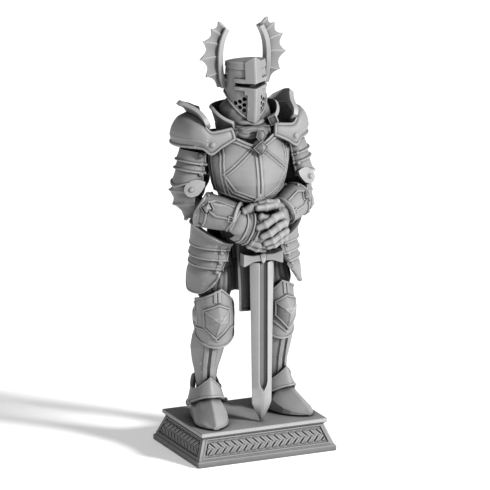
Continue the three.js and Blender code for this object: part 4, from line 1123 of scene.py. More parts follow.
def hand_left():
    p = Piece()
    # Back of the hand, from the wrist over the grip to the knuckles.
    limb(p, curve([(12.2, -17.4, 124.6), (11.2, -18.6, 122.4), (9.8, -19.8, 119.6), (8.6, -20.4, 116.8)],
                  16),
         np.stack([np.linspace(4.6, 4.4, 17),
                   np.interp(np.linspace(0, 1, 17), [0, 0.4, 1], [4.9, 6.2, 5.6])], -1),
         (1, -1, 0), 40, power=2.3)
    plate = net([[(13.8, -15.0, 128.2), (15.4, -17.6, 124.6), (14.6, -18.6, 119.4), (13.2, -18.6, 115.4)],
                 [(11.4, -19.6, 128.6), (12.9, -22.0, 124.2), (12.9, -22.7, 118.8), (11.9, -22.4, 113.8)],
                 [(8.6, -21.8, 127.4), (9.9, -24.0, 123.0), (10.3, -24.7, 117.8),
                  (9.9, -24.4, 112.2)]], 60, 60)
    r = rim(border(plate), 0.9, 0.3) + 0.35 * bead(edge_distances(plate)[0] - 3.2, 1.2, 1)
    shell(p, plate, 1.6, r, centre=(6, -16, 120))
    fingers = (
        ([(9.0, -23.6, 124.4), (4.9, -25.6, 124.2), (0.2, -26.2, 121.6), (-4.1, -25.0, 119.8)],
         (2.15, 2.1, 1.95, 1.6)),
        ([(10.6, -24.2, 120.4), (6.6, -26.2, 119.8), (2.2, -26.9, 117.2), (-2.2, -25.8, 115.2)],
         (2.15, 2.1, 2.0, 1.65)),
        ([(11.2, -24.2, 116.2), (7.6, -26.0, 115.4), (3.8, -26.6, 113.2), (-0.6, -25.8, 111.7)],
         (2.0, 1.95, 1.85, 1.5)),
        ([(10.8, -23.6, 112.8), (8.1, -24.8, 111.9), (5.4, -25.2, 110.4), (1.4, -24.6, 109.2)],
         (1.75, 1.7, 1.6, 1.3)),
    )
    for points, radii in fingers:
        finger(p, points, radii)
        k = np.array(points[0])
        limb(p, [k + (1.0, 0.6, 0.5), k + (0, 0, 0), k + (-0.8, -0.5, -0.2)], [1.7, 2.3, 1.8], count=24)
    # Thumb laid along the top.
    finger(p, [(12.4, -18.4, 127.4), (7.4, -20.4, 129.0), (2.2, -21.8, 128.8), (-3.4, -22.4, 129.2)],
           (2.3, 2.2, 2.0, 1.5))
    finger(p, [(9.0, -20.2, 130.2), (3.6, -19.8, 130.8), (-1.2, -19.6, 130.4)], (1.8, 1.7, 1.4))
    # Wrist cuff lames under the forearm guard.
    cuff(p, (((14.2, -16.0, 124.9), 5.4), ((12.8, -17.2, 124.4), 5.8)), (-0.74, -0.6, -0.3))
    p.make("gauntlet_left", "hand_left", ["hand_left"], RESIN, angle=48)


def hand_right():
    p = Piece()
    # Palm and back, from the wrist down to the grip.
    limb(p, curve([(-13.4, -16.4, 122.4), (-9.8, -18.2, 120.2), (-5.4, -19.2, 118.0), (-1.2, -19.6, 116.4)],
                  18),
         np.stack([np.interp(np.linspace(0, 1, 19), [0, 0.5, 1], [5.6, 6.6, 6.4]),
                   np.linspace(4.9, 4.5, 19)], -1),
         (0.3, 0, 1), 40, power=2.3)
    # Three curved lames across the back of the hand.
    lines = (
        [(-10.6, -15.6, 127.4), (-10.8, -19.4, 125.6), (-11.9, -21.6, 120.8), (-14.2, -20.6, 115.6),
         (-15.2, -17.0, 113.2)],
        [(-7.6, -16.6, 127.4), (-7.6, -20.9, 125.8), (-8.7, -23.1, 120.4), (-11.3, -21.9, 114.2),
         (-12.6, -18.2, 111.6)],
        [(-4.4, -18.0, 127.0), (-4.2, -22.0, 125.6), (-5.5, -24.1, 119.8), (-8.4, -22.7, 112.8),
         (-9.9, -19.2, 110.4)],
        [(-1.6, -19.0, 126.0), (-1.2, -22.8, 124.6), (-2.9, -24.7, 118.8), (-5.8, -23.3, 112.0),
         (-7.2, -20.0, 109.8)],
    )
    for k in range(3):
        a, b = np.array(lines[k]), np.array(lines[k + 1])
        rows = np.stack([a + (b - a) * -0.05, a + (b - a) * 0.45, a + (b - a) * 1.04])
        rows[0, :, 1] += 1.1
        rows[2, :, 1] -= 0.7
        sheet = net(rows, 26, 70)
        shell(p, sheet, 1.1, rim(edge_distances(sheet)[1], 1.1, 0.5), centre=(-8, -14, 119))
    # Fingers closed round the grip, seen below and beside the other hand.
    fingers = (
        ([(-1.8, -22.6, 124.4), (1.8, -23.6, 123.4), (4.6, -22.2, 122.4)], (2.2, 2.0, 1.7)),
        ([(-4.4, -23.0, 114.6), (-1.0, -24.2, 113.4), (2.6, -23.4, 112.6)], (2.1, 1.9, 1.6)),
        ([(-6.2, -22.2, 112.2), (-3.0, -23.6, 110.8), (1.4, -23.0, 109.6)], (2.0, 1.8, 1.5)),
        ([(-7.0, -20.6, 110.4), (-3.6, -21.8, 108.4), (0.8, -21.6, 107.4)], (1.8, 1.6, 1.4)),
    )
    for points, radii in fingers:
        finger(p, points, radii)
    # Thumb root and its two joints behind the other thumb.
    finger(p, [(-9.2, -18.4, 126.6), (-5.4, -19.4, 128.6), (-1.4, -18.8, 129.4), (2.6, -18.0, 129.6)],
           (2.3, 2.2, 1.9, 1.5))
    limb(p, [(-1.6, -19.4, 112), (2.2, -19.0, 110.8), (5.4, -18.4, 111)],
         [(4.2, 3.4), (4.6, 3.6), (3.6, 3.0)], count=32)
    cuff(p, (((-14.6, -15.6, 123.6), 5.6), ((-13.0, -16.8, 122.8), 6.0)), (0.74, -0.5, -0.4))
    p.make("gauntlet_right", "hand_right", ["hand_right"], RESIN, angle=48)


# ---- sword -------------------------------------------------------------------------------------
def sword():
    x, y = SWORD[0], SWORD[1]
    top, tip = BLADE_HIGH[2], BLADE_LOW[2]
    groove_end = tip + 16.2
    rows = []
    heights = list(np.linspace(top, groove_end + 3, 26))
    heights += list(np.linspace(groove_end + 2.6, tip + 10.4, 10))
    heights += [tip + 9.6, tip + 6, tip + 2.5, tip + 0.1]
    for z in heights:
        f = (z - tip) / (top - tip)
        half = np.interp(z - tip, [0, 2.5, 6, 9.8, 12, 40, 85], [0.45, 1.7, 3.7, 5.35, 5.4, 5.8, 6.6])
        thick = np.interp(z - tip, [0, 3, 10, 20, 85], [0.3, 1.3, 2.2, 2.5, 2.6])
        deep = smooth(z, groove_end, groove_end + 1.8)
        groove_half = np.interp(z, [groove_end, groove_end + 3.8], [0.05, 1.9])
        lip = groove_half + 0.28
        profile = [(half, 0.05), (half - 0.25, 0.32), (lip + 0.5, thick - 0.05), (lip, thick),
                   (groove_half, thick - 1.2 * deep), (groove_half * 0.5, thick - 1.7 * deep),
                   (0, thick - 1.8 * deep)]
        front = [(-a, -b) for a, b in profile] + [(a, -b) for a, b in profile[-2::-1]]
        back = [(a, b) for a, b in profile[1:]] + [(-a, b) for a, b in profile[-2:0:-1]]
        rows.append([(x + a, y + b, z) for a, b in front + back])
    p = Piece()
    solid(p, rows)
    p.make("sword_blade", "sword", ["blade"], RESIN, angle=18)

    low, high = box_mm("crossguard")
    z, half = (low[2] + high[2]) / 2, (high[0] - low[0]) / 2 - 0.9
    p = Piece()
    rings = []
    for t in np.linspace(-1, 1, 61):
        e = abs(t)
        tall = 1.7 + 1.5 * smooth(e, 0.45, 1.0) + 0.5 * hump(e, 0, 0.07)
        deep = 2.2 + 0.2 * smooth(e, 0.6, 1.0) + 0.35 * hump(e, 0, 0.12)
        droop = -0.5 * smooth(e, 0.1, 1.0)
        c = 0.3
        section = [(-deep + c, -tall), (deep - c, -tall), (deep, -tall + c), (deep, tall - c),
                   (deep - c, tall),
                   (-deep + c, tall), (-deep, tall - c),
                   (-deep - 0.35 * hump(e, 0, 0.06), 0), (-deep, -tall + c)]
        rings.append([(x + t * half, y + a, z + droop + b) for a, b in section])
    solid(p, rings)
    chevron = [(x - 1.9, y - 2.2, z + 1.9), (x, y - 2.2, z + 2.3), (x + 1.9, y - 2.2, z + 1.9),
               (x + 1.1, y - 2.2, z - 2.0),
               (x, y - 2.2, z - 3.2), (x - 1.1, y - 2.2, z - 2.0)]
    pyramid(p, chevron, (0, -1, 0), 0.8, 0.0, 0.3)
    p.make("sword_guard", "sword", ["crossguard"], RESIN, angle=28, bevel=0.15)

    low, high = box_mm("grip")
    p = Piece()
    profile = [(2.35, 0)]
    turns = 13
    for k in range(turns * 6 + 1):
        profile.append((2.15 + 0.22 * abs(math.sin(k / 6 * math.pi)),
                        0.3 + (high[2] - low[2] - 0.6) * k / (turns * 6)))
    profile.append((2.3, high[2] - low[2]))
    lathe(p, profile, (x, y, low[2]), (0, 0, 1), 36)
    p.make("sword_grip", "sword", ["grip"], CLOTH_SHADED)

    low, high = box_mm("pommel")
    p = Piece()
    lathe(p, [(1.4, 0), (2.3, 0.1), (2.5, 0.5), (2.2, 0.9), (2.9, 1.6), (3.0, 2.4), (2.9, 3.1), (2.3, 3.8),
              (1.7, 4.1),
              (1.6, 4.4), (1.1, 4.75), (0.3, 4.85)], (x, y, low[2]), (0, 0, 1), 8)
    p.make("sword_pommel", "sword", ["pommel"], RESIN, bevel=0.12)


# ---- hips --------------------------------------------------------------------------------------
def pelvis():
    """Short coat below the waist plates, pleated."""
    p = Piece()
    t = np.arange(144) / 144 * 2 * np.pi
    rings = []
    for z, a, b, y, deep in ((123.2, 11.4, 7.6, -1.5, 0.0), (119, 12.2, 8.2, -0.8, 0.01),
                             (116.5, 13.0, 8.8, -0.6, 0.02),
                             (113, 12.4, 8.6, 0.2, 0.03), (109, 10.8, 8.4, 1.0, 0.04),
                             (103, 9.4, 8.2, 1.6, 0.05), (99.5, 8.6, 7.8, 1.9, 0.06)):
        fold = 1 + deep * np.cos(22 * t)
        ring = oval((0, 0, z), (a, 0, 0), (0, b, 0), 144, 2.4)
        rings.append(ring * np.stack([fold, fold, np.ones(144)], -1) + (0, y, 0))
    solid(p, rings)
    p.make("coat_hips", "hips", ["pelvis"], CLOTH_SHADED, angle=60)


def belt():
    low, high = box_mm("belt")
    a, b = (high[0] - low[0]) / 2, (high[1] - low[1]) / 2
    y, z0, z1 = (high[1] + low[1]) / 2, low[2], high[2]
    p = Piece()
    nu, nv = 240, 20
    ring = oval((0, y, 0), (a - 0.3, 0, 0), (0, b - 0.3, 0), nu, 2.4)
    v = np.linspace(0, 1, nv + 1)
    sheet = ring[:, None] + np.stack([0 * v, 0 * v, z0 + (z1 - z0) * v], -1)[None]
    d = np.minimum(v, 1 - v) * (z1 - z0)
    r = np.broadcast_to(rim(d, 0.8, 0.3)[None], sheet.shape[:2]).copy()
    shell(p, sheet, 1.2, r, centre=(0, y, z0), closed=True)
    for k in (-3, -2, -1, 1, 2, 3):
        angle = math.radians(-90 + k * 16)
        at = oval((0, y, (z0 + z1) / 2), (a, 0, 0), (0, b, 0), 1, 2.4, angle)[0]
        rivet(p, at, (math.cos(angle) * 0.5, math.sin(angle), 0), 0.55, 0.4)
    corners = ((-2.8, z0 - 0.5), (2.8, z0 - 0.5), (2.8, z1 + 0.5), (-2.8, z1 + 0.5))
    buckle = [(x, low[1] - 0.2, z) for x, z in corners]
    pyramid(p, buckle, (0, -1, 0), 0.25, 0.35, 0.6)
    p.make("waist_belt", "hips", ["belt"], RESIN)


def tabard():
    low, high = box_mm("tabard_front")
    nu, nv = 110, 200
    u, v = grid(nu, nv, -1.0)
    half = (high[0] - low[0]) / 2 + 0.6
    z = high[2] + (low[2] - high[2]) * v
    x = u * half * (1 - np.where(u < 0, 0.14, 0.3) * v)
    wave = 0.55 * v * np.cos(u * 5.2 + 0.4) + 0.25 * v * np.sin(u * 11 + v * 3) + 0.18 * np.sin(v * 9 + u * 2)
    y = (low[1] + high[1]) / 2 + wave * 0.8
    sheet = np.stack([x, y + 0 * z, z + 0 * x - 0.4 * v * (1 - u ** 2)], -1)
    edge = np.minimum((1 - np.abs(u)) * half, (1 - v) * (high[2] - low[2]))
    r = (0.34 * (1 - smooth(edge, 1.3, 1.5)) - 0.2 * bead(edge - 1.55, 0.5, 1)
         + 0.12 * bead(edge - 0.65, 0.5, 1))
    p = Piece()
    shell(p, sheet, 0.9, r, centre=(0, 10, 95))
    p.make("tabard_cloth", "hips", ["tabard_front"], CLOTH_SHADED, angle=60)


def skirt():
    low, high = box_mm("skirt_back")
    nu, nv = 240, 90
    u, v = grid(nu, nv, -1.0)
    half = (high[0] - low[0]) / 2
    z = high[2] + (low[2] - high[2]) * v
    x = u * half * (0.8 + 0.2 * v)
    fold = (0.12 + 0.75 * v ** 0.8) * np.cos(u * 26 + 0.8 * np.sin(3 * u)) + 0.2 * v * np.sin(u * 9 + v * 4)
    y = high[1] - 1.3 - 1.2 * u ** 2 + fold * 0.75
    sheet = np.stack([x, y, z + 0 * x], -1)
    edge = (1 - v) * (high[2] - low[2]) + 0 * u
    r = 0.25 * (1 - smooth(edge, 1.2, 1.4)) - 0.15 * bead(edge - 1.5, 0.4, 1)
    p = Piece()
    shell(p, sheet, 0.8, r, centre=(0, -10, 95))
    p.make("skirt_cloth", "hips", ["skirt_back"], CLOTH_SHADED, angle=60)


TASSET_TOP, TASSET_LOW = 119.4, 83.8


def tasset(s, name):
    nu, nv = 150, 170
    u, v = grid(nu, nv)
    inner = np.interp(v, [0, 0.25, 0.45, 0.85, 1], [-90, -86, -82, -64, -56])
    outer = np.interp(v, [0, 0.8, 1], [40, 36, 30])
    a = np.radians(inner + (outer - inner) * u)
    top = TASSET_TOP - 8.9 * (1 - smooth(u, 0.0, 0.62))
    low = TASSET_LOW + 7.0 * np.abs(2 * u - 1) ** 3.4
    z = top + (low - top) * v
    lame_z = (107.8, 102.6, 98.2)
    edge_z = [line - 1.6 * (1 - u) for line in lame_z]
    step = np.zeros(np.broadcast(z, a).shape)
    for line in edge_z:
        step = step - 1.05 * smooth(line - z, 0.0, 0.15) + 1.02 * smooth(line - z, 0.1, 5.0)
    flare = 2.2 * smooth(z, top - 5.5, top + 0.5) ** 2
    radius = 14.6 + 2.6 * v + flare * smooth(38 - np.degrees(a), 0, 70) + step
    sheet = np.stack([13.0 + radius * np.cos(a) * 1.02, 0.5 + radius * np.sin(a) * 0.9, z + 0 * a], -1)
    u0, u1, v0, v1 = edge_distances(sheet)
    r = rim(np.minimum(u0, np.minimum(u1, v1)), 0.9, 0.3)
    r = np.maximum(r, rim(v0, 1.5, 0.6))
    for line in edge_z:
        r = np.maximum(r, rim(z - line, 1.0, 0.28))
    strap = inside(u0, 2.2, 5.2) * inside(z, 94.5, 109.5)
    r = r + 0.28 * strap
    p = Piece()
    shell(p, mirror(sheet, s), 1.2, r, centre=(s * 13, 2, 100))
    for z_at, depth in ((105.2, 3.8), (100.4, 3.9), (95.6, 4.1)):
        row = np.argmin(np.abs(z[0] - z_at))
        col = np.argmin(np.abs(u0[:, row] - depth))
        col_z = np.argmin(np.abs((z + 0 * a)[col] - z_at))
        at = sheet[col, col_z]
        out = unit(at - np.array((13.0, 0.5, at[2])))
        rivet(p, mirror(at + out * 0.4, s), mirror(out, s), 0.95, 0.7)
    p.make(f"hip_lames_{name}", f"tasset_{name}", [f"tasset_{name}"], RESIN)


# ---- legs ---------------------------------------------------------------------------------------
def thigh_middle(s, z):
    hip, knee = HIP[s], KNEE[s]
    t = (hip[2] - z) / (hip[2] - knee[2])
    return hip[0] + (knee[0] - hip[0]) * t, hip[1] + (knee[1] - hip[1]) * t


# Height, half widths, shift outward and back from the thigh's line, and depth of the pleats.
HOSE = [(107, 6.2, 7.4, 3.6, 0, 0.0), (103, 7.4, 8.2, 3.2, 0, 0.03), (99.6, 8.2, 8.8, 2.8, 0.2, 0.05),
        (97.4, 8.7, 9.1, 2.5, 0.2, 0.06), (97.0, 8.5, 8.9, 2.5, 0.2, 0.06),
        (96.8, 7.7, 8.2, 2.3, 0.3, 0.05),
        (93, 8.3, 8.5, 1.7, 0.4, 0.055), (89, 9.2, 8.6, 1.2, 0.6, 0.05), (86, 9.4, 8.4, 0.9, 0.6, 0.04),
        (83, 8.9, 7.9, 0.3, 0.6, 0.02), (79.6, 7.6, 6.8, -0.6, 0.6, 0)]


def thigh(s, name):
    """Pleated hose, with the coat's hem above it."""
    p = Piece()
    t = np.arange(150) / 150 * 2 * np.pi
    rings = []
    for z, a, b, dx, dy, deep in HOSE:
        x, y = thigh_middle(s, z)
        fold = 1 + deep * (np.abs(np.sin(9 * t + 0.4 * np.sin(3 * t))) - 0.5) * 1.6
        ring = oval((0, 0, 0), (a, 0, 0), (0, b, 0), 150)
        rings.append(ring * fold[:, None] + (x + s * dx, y + dy, z))
    rows = net(np.array(rows_first(rings)), 150, 60)
    solid(p, rows.transpose(1, 0, 2)[:, :150])
    p.make(f"hose_{name}", f"thigh_{name}", [f"thigh_{name}"], CLOTH_SHADED, angle=60)


def rows_first(rings):
    """Rings as columns of a net, with the seam closed."""
    rings = np.array(rings).transpose(1, 0, 2)
    return np.concatenate([rings, rings[:1]])


KNEE_TURN = {RIGHT: -13, LEFT: 13}
KNEE_COP_IN = 1.8       # mm the cop sits inside the line of the leg


def turned(s, points):
    """Leg shapes are drawn facing -Y about the knee line, then turned outward."""
    k = math.radians(KNEE_TURN[s])
    points = np.asarray(points, float)
    x = points[..., 0] * math.cos(k) - points[..., 1] * math.sin(k)
    y = points[..., 0] * math.sin(k) + points[..., 1] * math.cos(k)
    return np.stack([x, y, points[..., 2]], -1)


def poleyn(s, name):
    """Knee cop: a peaked upper plate, a cut boss, and a bordered lame below."""
    knee = KNEE[s]
    at = np.array((knee[0] - s * KNEE_COP_IN, knee[1], 0))
    p = Piece()
    nu, nv = 150, 170
    a = np.linspace(-84, 84, nu + 1)[:, None]
    v = np.linspace(0, 1, nv + 1)[None, :]
    front = np.cos(np.radians(a))
    lean = -s * a
    top = np.interp(lean, [-84, -50, 13, 60, 84], [80.6, 82.2, 86.8, 80.4, 75.4])
    low = 55.6 + 6.6 * (np.abs(a) / 84) ** 2
    z = top + (low - top) * v
    wide = np.interp(z, [55, 60, 66, 72, 78, 86], [9.0, 9.7, 9.9, 10.0, 9.7, 9.3])
    deep = np.interp(z, [55, 60, 66, 72, 78, 86], [8.8, 9.9, 11.2, 11.6, 10.6, 9.6])
    sheet = np.stack([wide * np.sin(np.radians(a)), -deep * front, z], -1)
    # The cut boss: six sides, raised facets meeting at a point right of the middle.
    w = np.radians(a) * 10.2 * -s + 0 * z
    boss = [(-7.6, 76.0), (0.6, 79.0), (6.9, 76.2), (7.1, 69.0), (-0.8, 60.8), (-7.4, 67.0)]
    d = polygon_distance(w, z, boss)
    peak = np.array((0.6, 70.6))
    rise = np.full(d.shape, 99.0)
    closed = boss + [boss[0]]
    for (ax, az), (bx, bz) in zip(closed[:-1], closed[1:]):
        n = np.array((az - bz, bx - ax))
        n = n / np.hypot(*n)
        here = (w - ax) * n[0] + (z - az) * n[1]
        full = (peak[0] - ax) * n[0] + (peak[1] - az) * n[1]
        rise = np.minimum(rise, here / full)
    facet = np.where(d < -0.9, 0.5 + 3.8 * np.clip(rise - 0.12, 0, 1), 0)
    r = np.maximum(facet, bead(d + 0.45, 1.3, 0.95))
    crest = np.minimum(line_distance(w, z, [(-7.6, 76.0), (0.6, 70.6), (-0.8, 60.8)]),
                       line_distance(w, z, [(6.9, 76.2), (0.6, 70.6)]))
    r = r + 0.25 * bead(crest, 0.9, 1) * (d < -1)
    # Upper plate: raised spine and border; lower lame: border round its edge.
    spine = (np.abs(w) < 2.4) & (z > 79)
    r = np.maximum(r, np.where(spine, 0.55 * inside(np.abs(w), -1, 1.9) - 0.45 * bead(w, 0.8, 1),
                               0) * smooth(z, 79, 80))
    r = np.maximum(r, rim((top - z) * 0.9, 1.2, 0.55) * (z > 70))
    r = np.maximum(r, rim(z - low, 1.3, 0.6) * (z < 70))
    side = (84 - np.abs(a)) / 84 * 15 + 0 * z
    r = np.maximum(r, rim(side, 1.2, 0.5))
    split = z - (66.6 - 6.2 * np.clip(1 - np.abs(w) / 7.4, 0, 1))
    r = np.maximum(r, 0.5 * inside(-split, 0.2, 1.3, 0.12) * (d > 0.2))
    shell(p, turned(s, sheet) + at, 1.2, r, centre=at + (0, 4, 70))
    for k in (-1, 1):
        profile = [(5.4, -0.8), (5.4, 0.5), (5.0, 0.9), (4.3, 0.9), (4.1, 0.55), (2.6, 0.55), (2.4, 0.9),
                   (1.6, 1.2), (0.6, 1.3)]
        centre = turned(s, (k * 8.9, 0.6, knee[2])) + at
        lathe(p, profile, centre, turned(s, (k, 0, 0)), 40)
    # Strap behind the knee.
    b = np.radians(np.linspace(96, 264, 40))
    path = np.stack([9.0 * np.sin(b), -8.4 * np.cos(b) - 0.4, 0 * b + 77.4], -1)
    tube(p, turned(s, path) + at, 1.1, 8, flat=0.5, normal=(0, 0, 1))
    p.make(f"knee_cop_{name}", f"thigh_{name}", [f"poleyn_{name}", f"knee_pin_{name}"], RESIN, angle=26)


def greave(s, name):
    knee, ankle = KNEE[s], ANKLE[s]
    p = Piece()
    count = 180
    t = np.arange(count) / count * 2 * np.pi
    face = np.degrees(t) - 270
    rings = []
    for z in np.linspace(74.5, 30.5, 110):
        f = np.clip((knee[2] - z) / (knee[2] - 44), 0, 1)
        a = np.interp(z, [30, 36, 42, 47, 54, 60, 66, 71, 74.5],
                      [4.7, 5.1, 6.0, 7.3, 8.6, 8.2, 6.8, 5.9, 4.4])
        front = np.interp(z, [30, 42, 54, 60, 66, 71, 74.5], [5.0, 6.2, 8.0, 7.9, 7.2, 6.2, 4.4])
        back = np.interp(z, [30, 36, 42, 47, 54, 60, 66, 71, 74.5],
                         [4.8, 5.2, 6.2, 8.0, 9.6, 8.9, 7.0, 5.9, 4.2])
        c, sn = np.cos(t), np.sin(t)
        depth = np.where(sn < 0, front, back)
        w = np.radians(face) * depth
        ridge = (z < 62) * (0.8 * inside(np.abs(w), -1, 2.7, 0.2) - 1.1 * bead(w, 1.5, 1)) * (sn < 0)
        seam = -0.35 * bead((np.degrees(t) % 180) * 0.13 - 0.4, 0.5, 1) * (z < 60)
        grow = ridge + seam
        pts = np.stack([(a + grow) * c, (depth + grow) * sn, 0 * t + z], -1)
        middle = (knee[0] + (ankle[0] - knee[0]) * f, knee[1] + (ankle[1] - knee[1]) * f, 0)
        rings.append(turned(s, pts) + middle)
    solid(p, rings)
    limb(p, [turned(s, (x, 0, 0)) + (knee[0], knee[1], knee[2]) for x in (-5.6, 0, 5.6)], [4.9, 5.2, 4.9],
         count=40)
    p.make(f"shin_plate_{name}", f"shin_{name}", [f"greave_{name}", f"ankle_pin_{name}"], RESIN, angle=34)


TOE_OUT = {RIGHT: 9, LEFT: 17}
TOE_DRIFT = 1.3         # mm the toe bends outward


def foot_point(s, side, ahead, z):
    turn = math.radians(TOE_OUT[s])
    x = side * math.cos(turn) + ahead * math.sin(turn)
    y = side * math.sin(turn) - ahead * math.cos(turn)
    return np.stack(np.broadcast_arrays(ANKLE[s][0] + s * x, ANKLE[s][1] + y, z), -1)


def ankle_guard(s, name):
    nu, nv = 170, 70
    a = np.linspace(-150, 150, nu + 1)[:, None]
    v = np.linspace(0, 1, nv + 1)[None, :]
    front = np.clip(np.cos(np.radians(a)), 0, 1)
    near = np.clip(1 - np.abs(a) / 58, 0, 1)
    top = 33.0 + 6.6 * near ** 1.1 + 5.0 * smooth(np.abs(a), 96, 136)
    low = (23.2 + 6.6 * np.cos(np.radians(np.clip(np.abs(a), 0, 90))) ** 0.9
           + 0.8 * smooth(np.abs(a), 100, 136))
    z = top + (low - top) * v
    radius = 7.6 + 2.3 * v ** 1.5 + 0.5 * near * (1 - v)
    keel = 0.9 * hump(a, 0, 16) * (0.4 + 0.6 * v)
    ahead = np.cos(np.radians(a)) * radius * 1.03 + keel + 1.3 * v * front
    sheet = foot_point(s, np.sin(np.radians(a)) * radius, ahead, z)
    u0, u1, v0, v1 = edge_distances(sheet)
    r = rim(v1, 1.1, 0.4)
    r = np.maximum(r, rim(v0, 0.9, 0.3))
    r = np.maximum(r, rim(np.minimum(u0, u1), 0.9, 0.3))
    p = Piece()
    centre = foot_point(s, 0.0, 0.0, 34.0)
    shell(p, sheet, 1.1, r, centre=centre)
    for k in (-1, 1):
        at = foot_point(s, k * 9.4, 3.4, 25.6)
        out = foot_point(s, k * 10.4, 3.8, 25.6) - at
        rivet(p, at, out, 1.05, 0.9)
    p.make(f"ankle_plate_{name}", f"shin_{name}", [f"ankle_guard_{name}"], RESIN)


# Distance ahead of the ankle, half width, and heights of the ridge, the shoulder and the low edge.
TOE_ROWS = [(-8.4, 4.0, 8.0, 6.0, 1.6), (-6.6, 6.0, 10.6, 8.8, 0.6), (-3.5, 7.4, 12.4, 10.4, 0.0),
            (3.0, 8.0, 13.2, 11.2, 0.0), (7.0, 8.4, 13.4, 11.0, 0.0), (10.6, 8.8, 12.3, 8.4, 0.0),
            (14.6, 8.6, 10.2, 6.0, 0.0), (18.8, 7.2, 7.4, 4.2, 0.0), (22.6, 4.6, 4.6, 2.8, 0.0),
            (25.4, 1.5, 2.2, 1.4, 0.2)]


def sabaton(s, name):
    """Hoof-like toe cap with flat facets running down from the instep, and a heel under the guard."""
    sole = box_mm(f"sabaton_{name}")[0][2]
    p = Piece()
    rings = []
    for ahead, half, top, shoulder, low in TOE_ROWS:
        outline = [(-half + 0.5, low), (-half, low + 0.6), (-half * 0.93, shoulder * 0.55),
                   (-half * 0.62, shoulder),
                   (-0.35, top - 0.12), (0.35, top - 0.12), (half * 0.62, shoulder),
                   (half * 0.93, shoulder * 0.55),
                   (half, low + 0.6), (half - 0.5, low)]
        drift = TOE_DRIFT * max(0.0, ahead - 8) / 17
        rings.append([foot_point(s, side + drift, ahead, sole + up) for side, up in outline])
    solid(p, rings)
    p.make(f"toe_cap_{name}", f"foot_{name}", [f"sabaton_{name}"], RESIN, angle=14, bevel=0.22)


def peg(node, name, body, profile, sides, across=False):
    """Turned peg in the box of its node, standing up or lying across the figure."""
    low, high = box_mm(node)
    x, y, z = (low + high) / 2
    p = Piece()
    reach = high[0] - low[0] if across else high[2] - low[2]
    start, axis = ((low[0], y, z), (1, 0, 0)) if across else ((x, y, low[2]), (0, 0, 1))
    lathe(p, profile(reach), start, axis, sides)
    p.make(name, body, [node], BASE)


def rounded_rod(radius, end, corner):
    """Profile of a rod that eases to radius end at its ends, as a function of its length."""
    return lambda reach: [(end, 0), (radius, corner), (radius, reach - corner), (end, reach)]


def ball_peg(reach):
    """Profile of a stem with a ball on top."""
    stem, ball = 2.8, 3.9
    arc = [(ball * math.sin(a), reach - 4 - ball * math.cos(a)) for a in np.linspace(0.85, 3.0, 12)]
    return [(2.2, 0), (stem, 0.6), (stem, reach - 7.0)] + arc


def hidden_pegs():
    """Pegs that the hips, waist, neck and shoulders turn on."""
    cross = rounded_rod(1.35, 0.9, 0.4)
    peg("hip_rod", "hip_peg", "hips", cross, 16, across=True)
    peg("waist_post", "waist_peg", "hips", rounded_rod(2.1, 1.6, 0.5), 20)
    peg("neck_ball", "neck_peg", "neck", ball_peg, 24)
    for _, name in SIDES:
        peg(f"shoulder_pin_{name}", f"shoulder_peg_{name}", "torso", cross, 16, across=True)


# ---- assembly -----------------------------------------------------------------------------------
plinth()
torso_core()
breastplate()
backplate()
yoke()
gorget()
helm()
pelvis()
belt()
tabard()
skirt()
sword()
hand_left()
hand_right()
hidden_pegs()
for side, side_name in SIDES:
    for build in (crest_wing, pauldron, neck_guard, rerebrace, upper_arm, couter, forearm, vambrace,
                  tasset, thigh, poleyn, greave, ankle_guard, sabaton):
        build(side, side_name)


# ---- studio ---------------------------------------------------------------------------------------
FLOOR_HALF = 6.0
FLOOR_GLOW = 0.34
AMBIENT, BACKDROP = 0.2, 1.0
# Name, direction it shines from, power, and spread in degrees.
SUNS = (("key", (0.78, -1.0, 0.58), 5.6, 10), ("fill", (-1.1, -0.6, 0.35), 0.5, 40))
# The camera stands far off behind a long lens, so that the view is nearly parallel.
CAMERA_YAW, CAMERA_PITCH, CAMERA_DISTANCE = 24.48, 15.49, 3.5
CAMERA_SENSOR = 36.0    # mm
VIEW_WIDTH = 0.24468    # metres seen across the picture, at the knight
LOOK_ASIDE, LOOK_HEIGHT = 0.00023, 0.1043


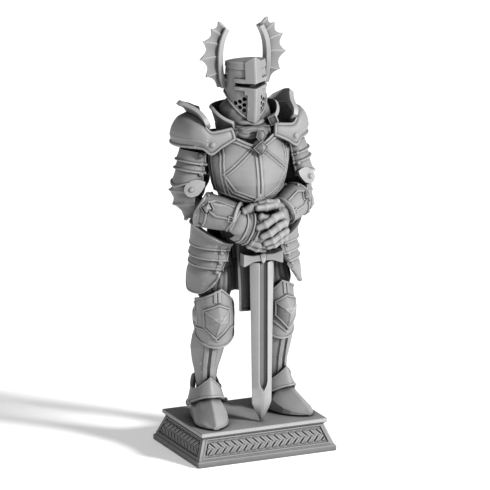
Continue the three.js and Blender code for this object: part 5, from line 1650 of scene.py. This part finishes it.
def studio():
    scene = bpy.context.scene
    floor_mesh = bpy.data.meshes.new("floor")
    corners = [(x * FLOOR_HALF, y * FLOOR_HALF, 0) for x, y in ((-1, -1), (1, -1), (1, 1), (-1, 1))]
    floor_mesh.from_pydata(corners, [], [(0, 1, 2, 3)])
    floor = bpy.data.objects.new("floor", floor_mesh)
    scene.collection.objects.link(floor)
    white = bpy.data.materials.new("floor_white")
    white.use_nodes = True
    shader = white.node_tree.nodes["Principled BSDF"]
    shader.inputs["Base Color"].default_value = (0.95, 0.95, 0.95, 1)
    shader.inputs["Roughness"].default_value = 0.9
    shader.inputs["Specular IOR Level"].default_value = 0.0
    shader.inputs["Emission Color"].default_value = (1, 1, 1, 1)
    shader.inputs["Emission Strength"].default_value = FLOOR_GLOW
    floor_mesh.materials.append(white)

    world = bpy.data.worlds.new("studio")
    world.use_nodes = True
    tree = world.node_tree
    soft = tree.nodes["Background"]
    soft.inputs[0].default_value = (1, 1, 1, 1)
    soft.inputs[1].default_value = AMBIENT
    seen = tree.nodes.new("ShaderNodeBackground")
    seen.inputs[0].default_value = (1, 1, 1, 1)
    seen.inputs[1].default_value = BACKDROP
    path = tree.nodes.new("ShaderNodeLightPath")
    mix = tree.nodes.new("ShaderNodeMixShader")
    tree.links.new(path.outputs["Is Camera Ray"], mix.inputs[0])
    tree.links.new(soft.outputs[0], mix.inputs[1])
    tree.links.new(seen.outputs[0], mix.inputs[2])
    tree.links.new(mix.outputs[0], tree.nodes["World Output"].inputs[0])
    scene.world = world

    for name, toward, power, spread in SUNS:
        data = bpy.data.lights.new(name, "SUN")
        data.energy = power
        data.angle = math.radians(spread)
        light = bpy.data.objects.new(name, data)
        light.location = toward
        light.rotation_euler = (-Vector(toward)).to_track_quat("-Z", "Y").to_euler()
        scene.collection.objects.link(light)

    yaw, pitch = math.radians(CAMERA_YAW), math.radians(CAMERA_PITCH)
    right = Vector((math.cos(yaw), -math.sin(yaw), 0))
    target = right * LOOK_ASIDE + Vector((0, 0, LOOK_HEIGHT))
    look = Vector((math.sin(yaw) * math.cos(pitch), math.cos(yaw) * math.cos(pitch), -math.sin(pitch)))
    data = bpy.data.cameras.new("camera")
    data.sensor_width = CAMERA_SENSOR
    data.lens = CAMERA_SENSOR * CAMERA_DISTANCE / VIEW_WIDTH
    data.clip_end = 50
    camera = bpy.data.objects.new("camera", data)
    camera.location = target - look * CAMERA_DISTANCE
    camera.rotation_euler = look.to_track_quat("-Z", "Y").to_euler()
    scene.collection.objects.link(camera)
    scene.camera = camera
    scene.view_settings.view_transform = "Standard"


studio()
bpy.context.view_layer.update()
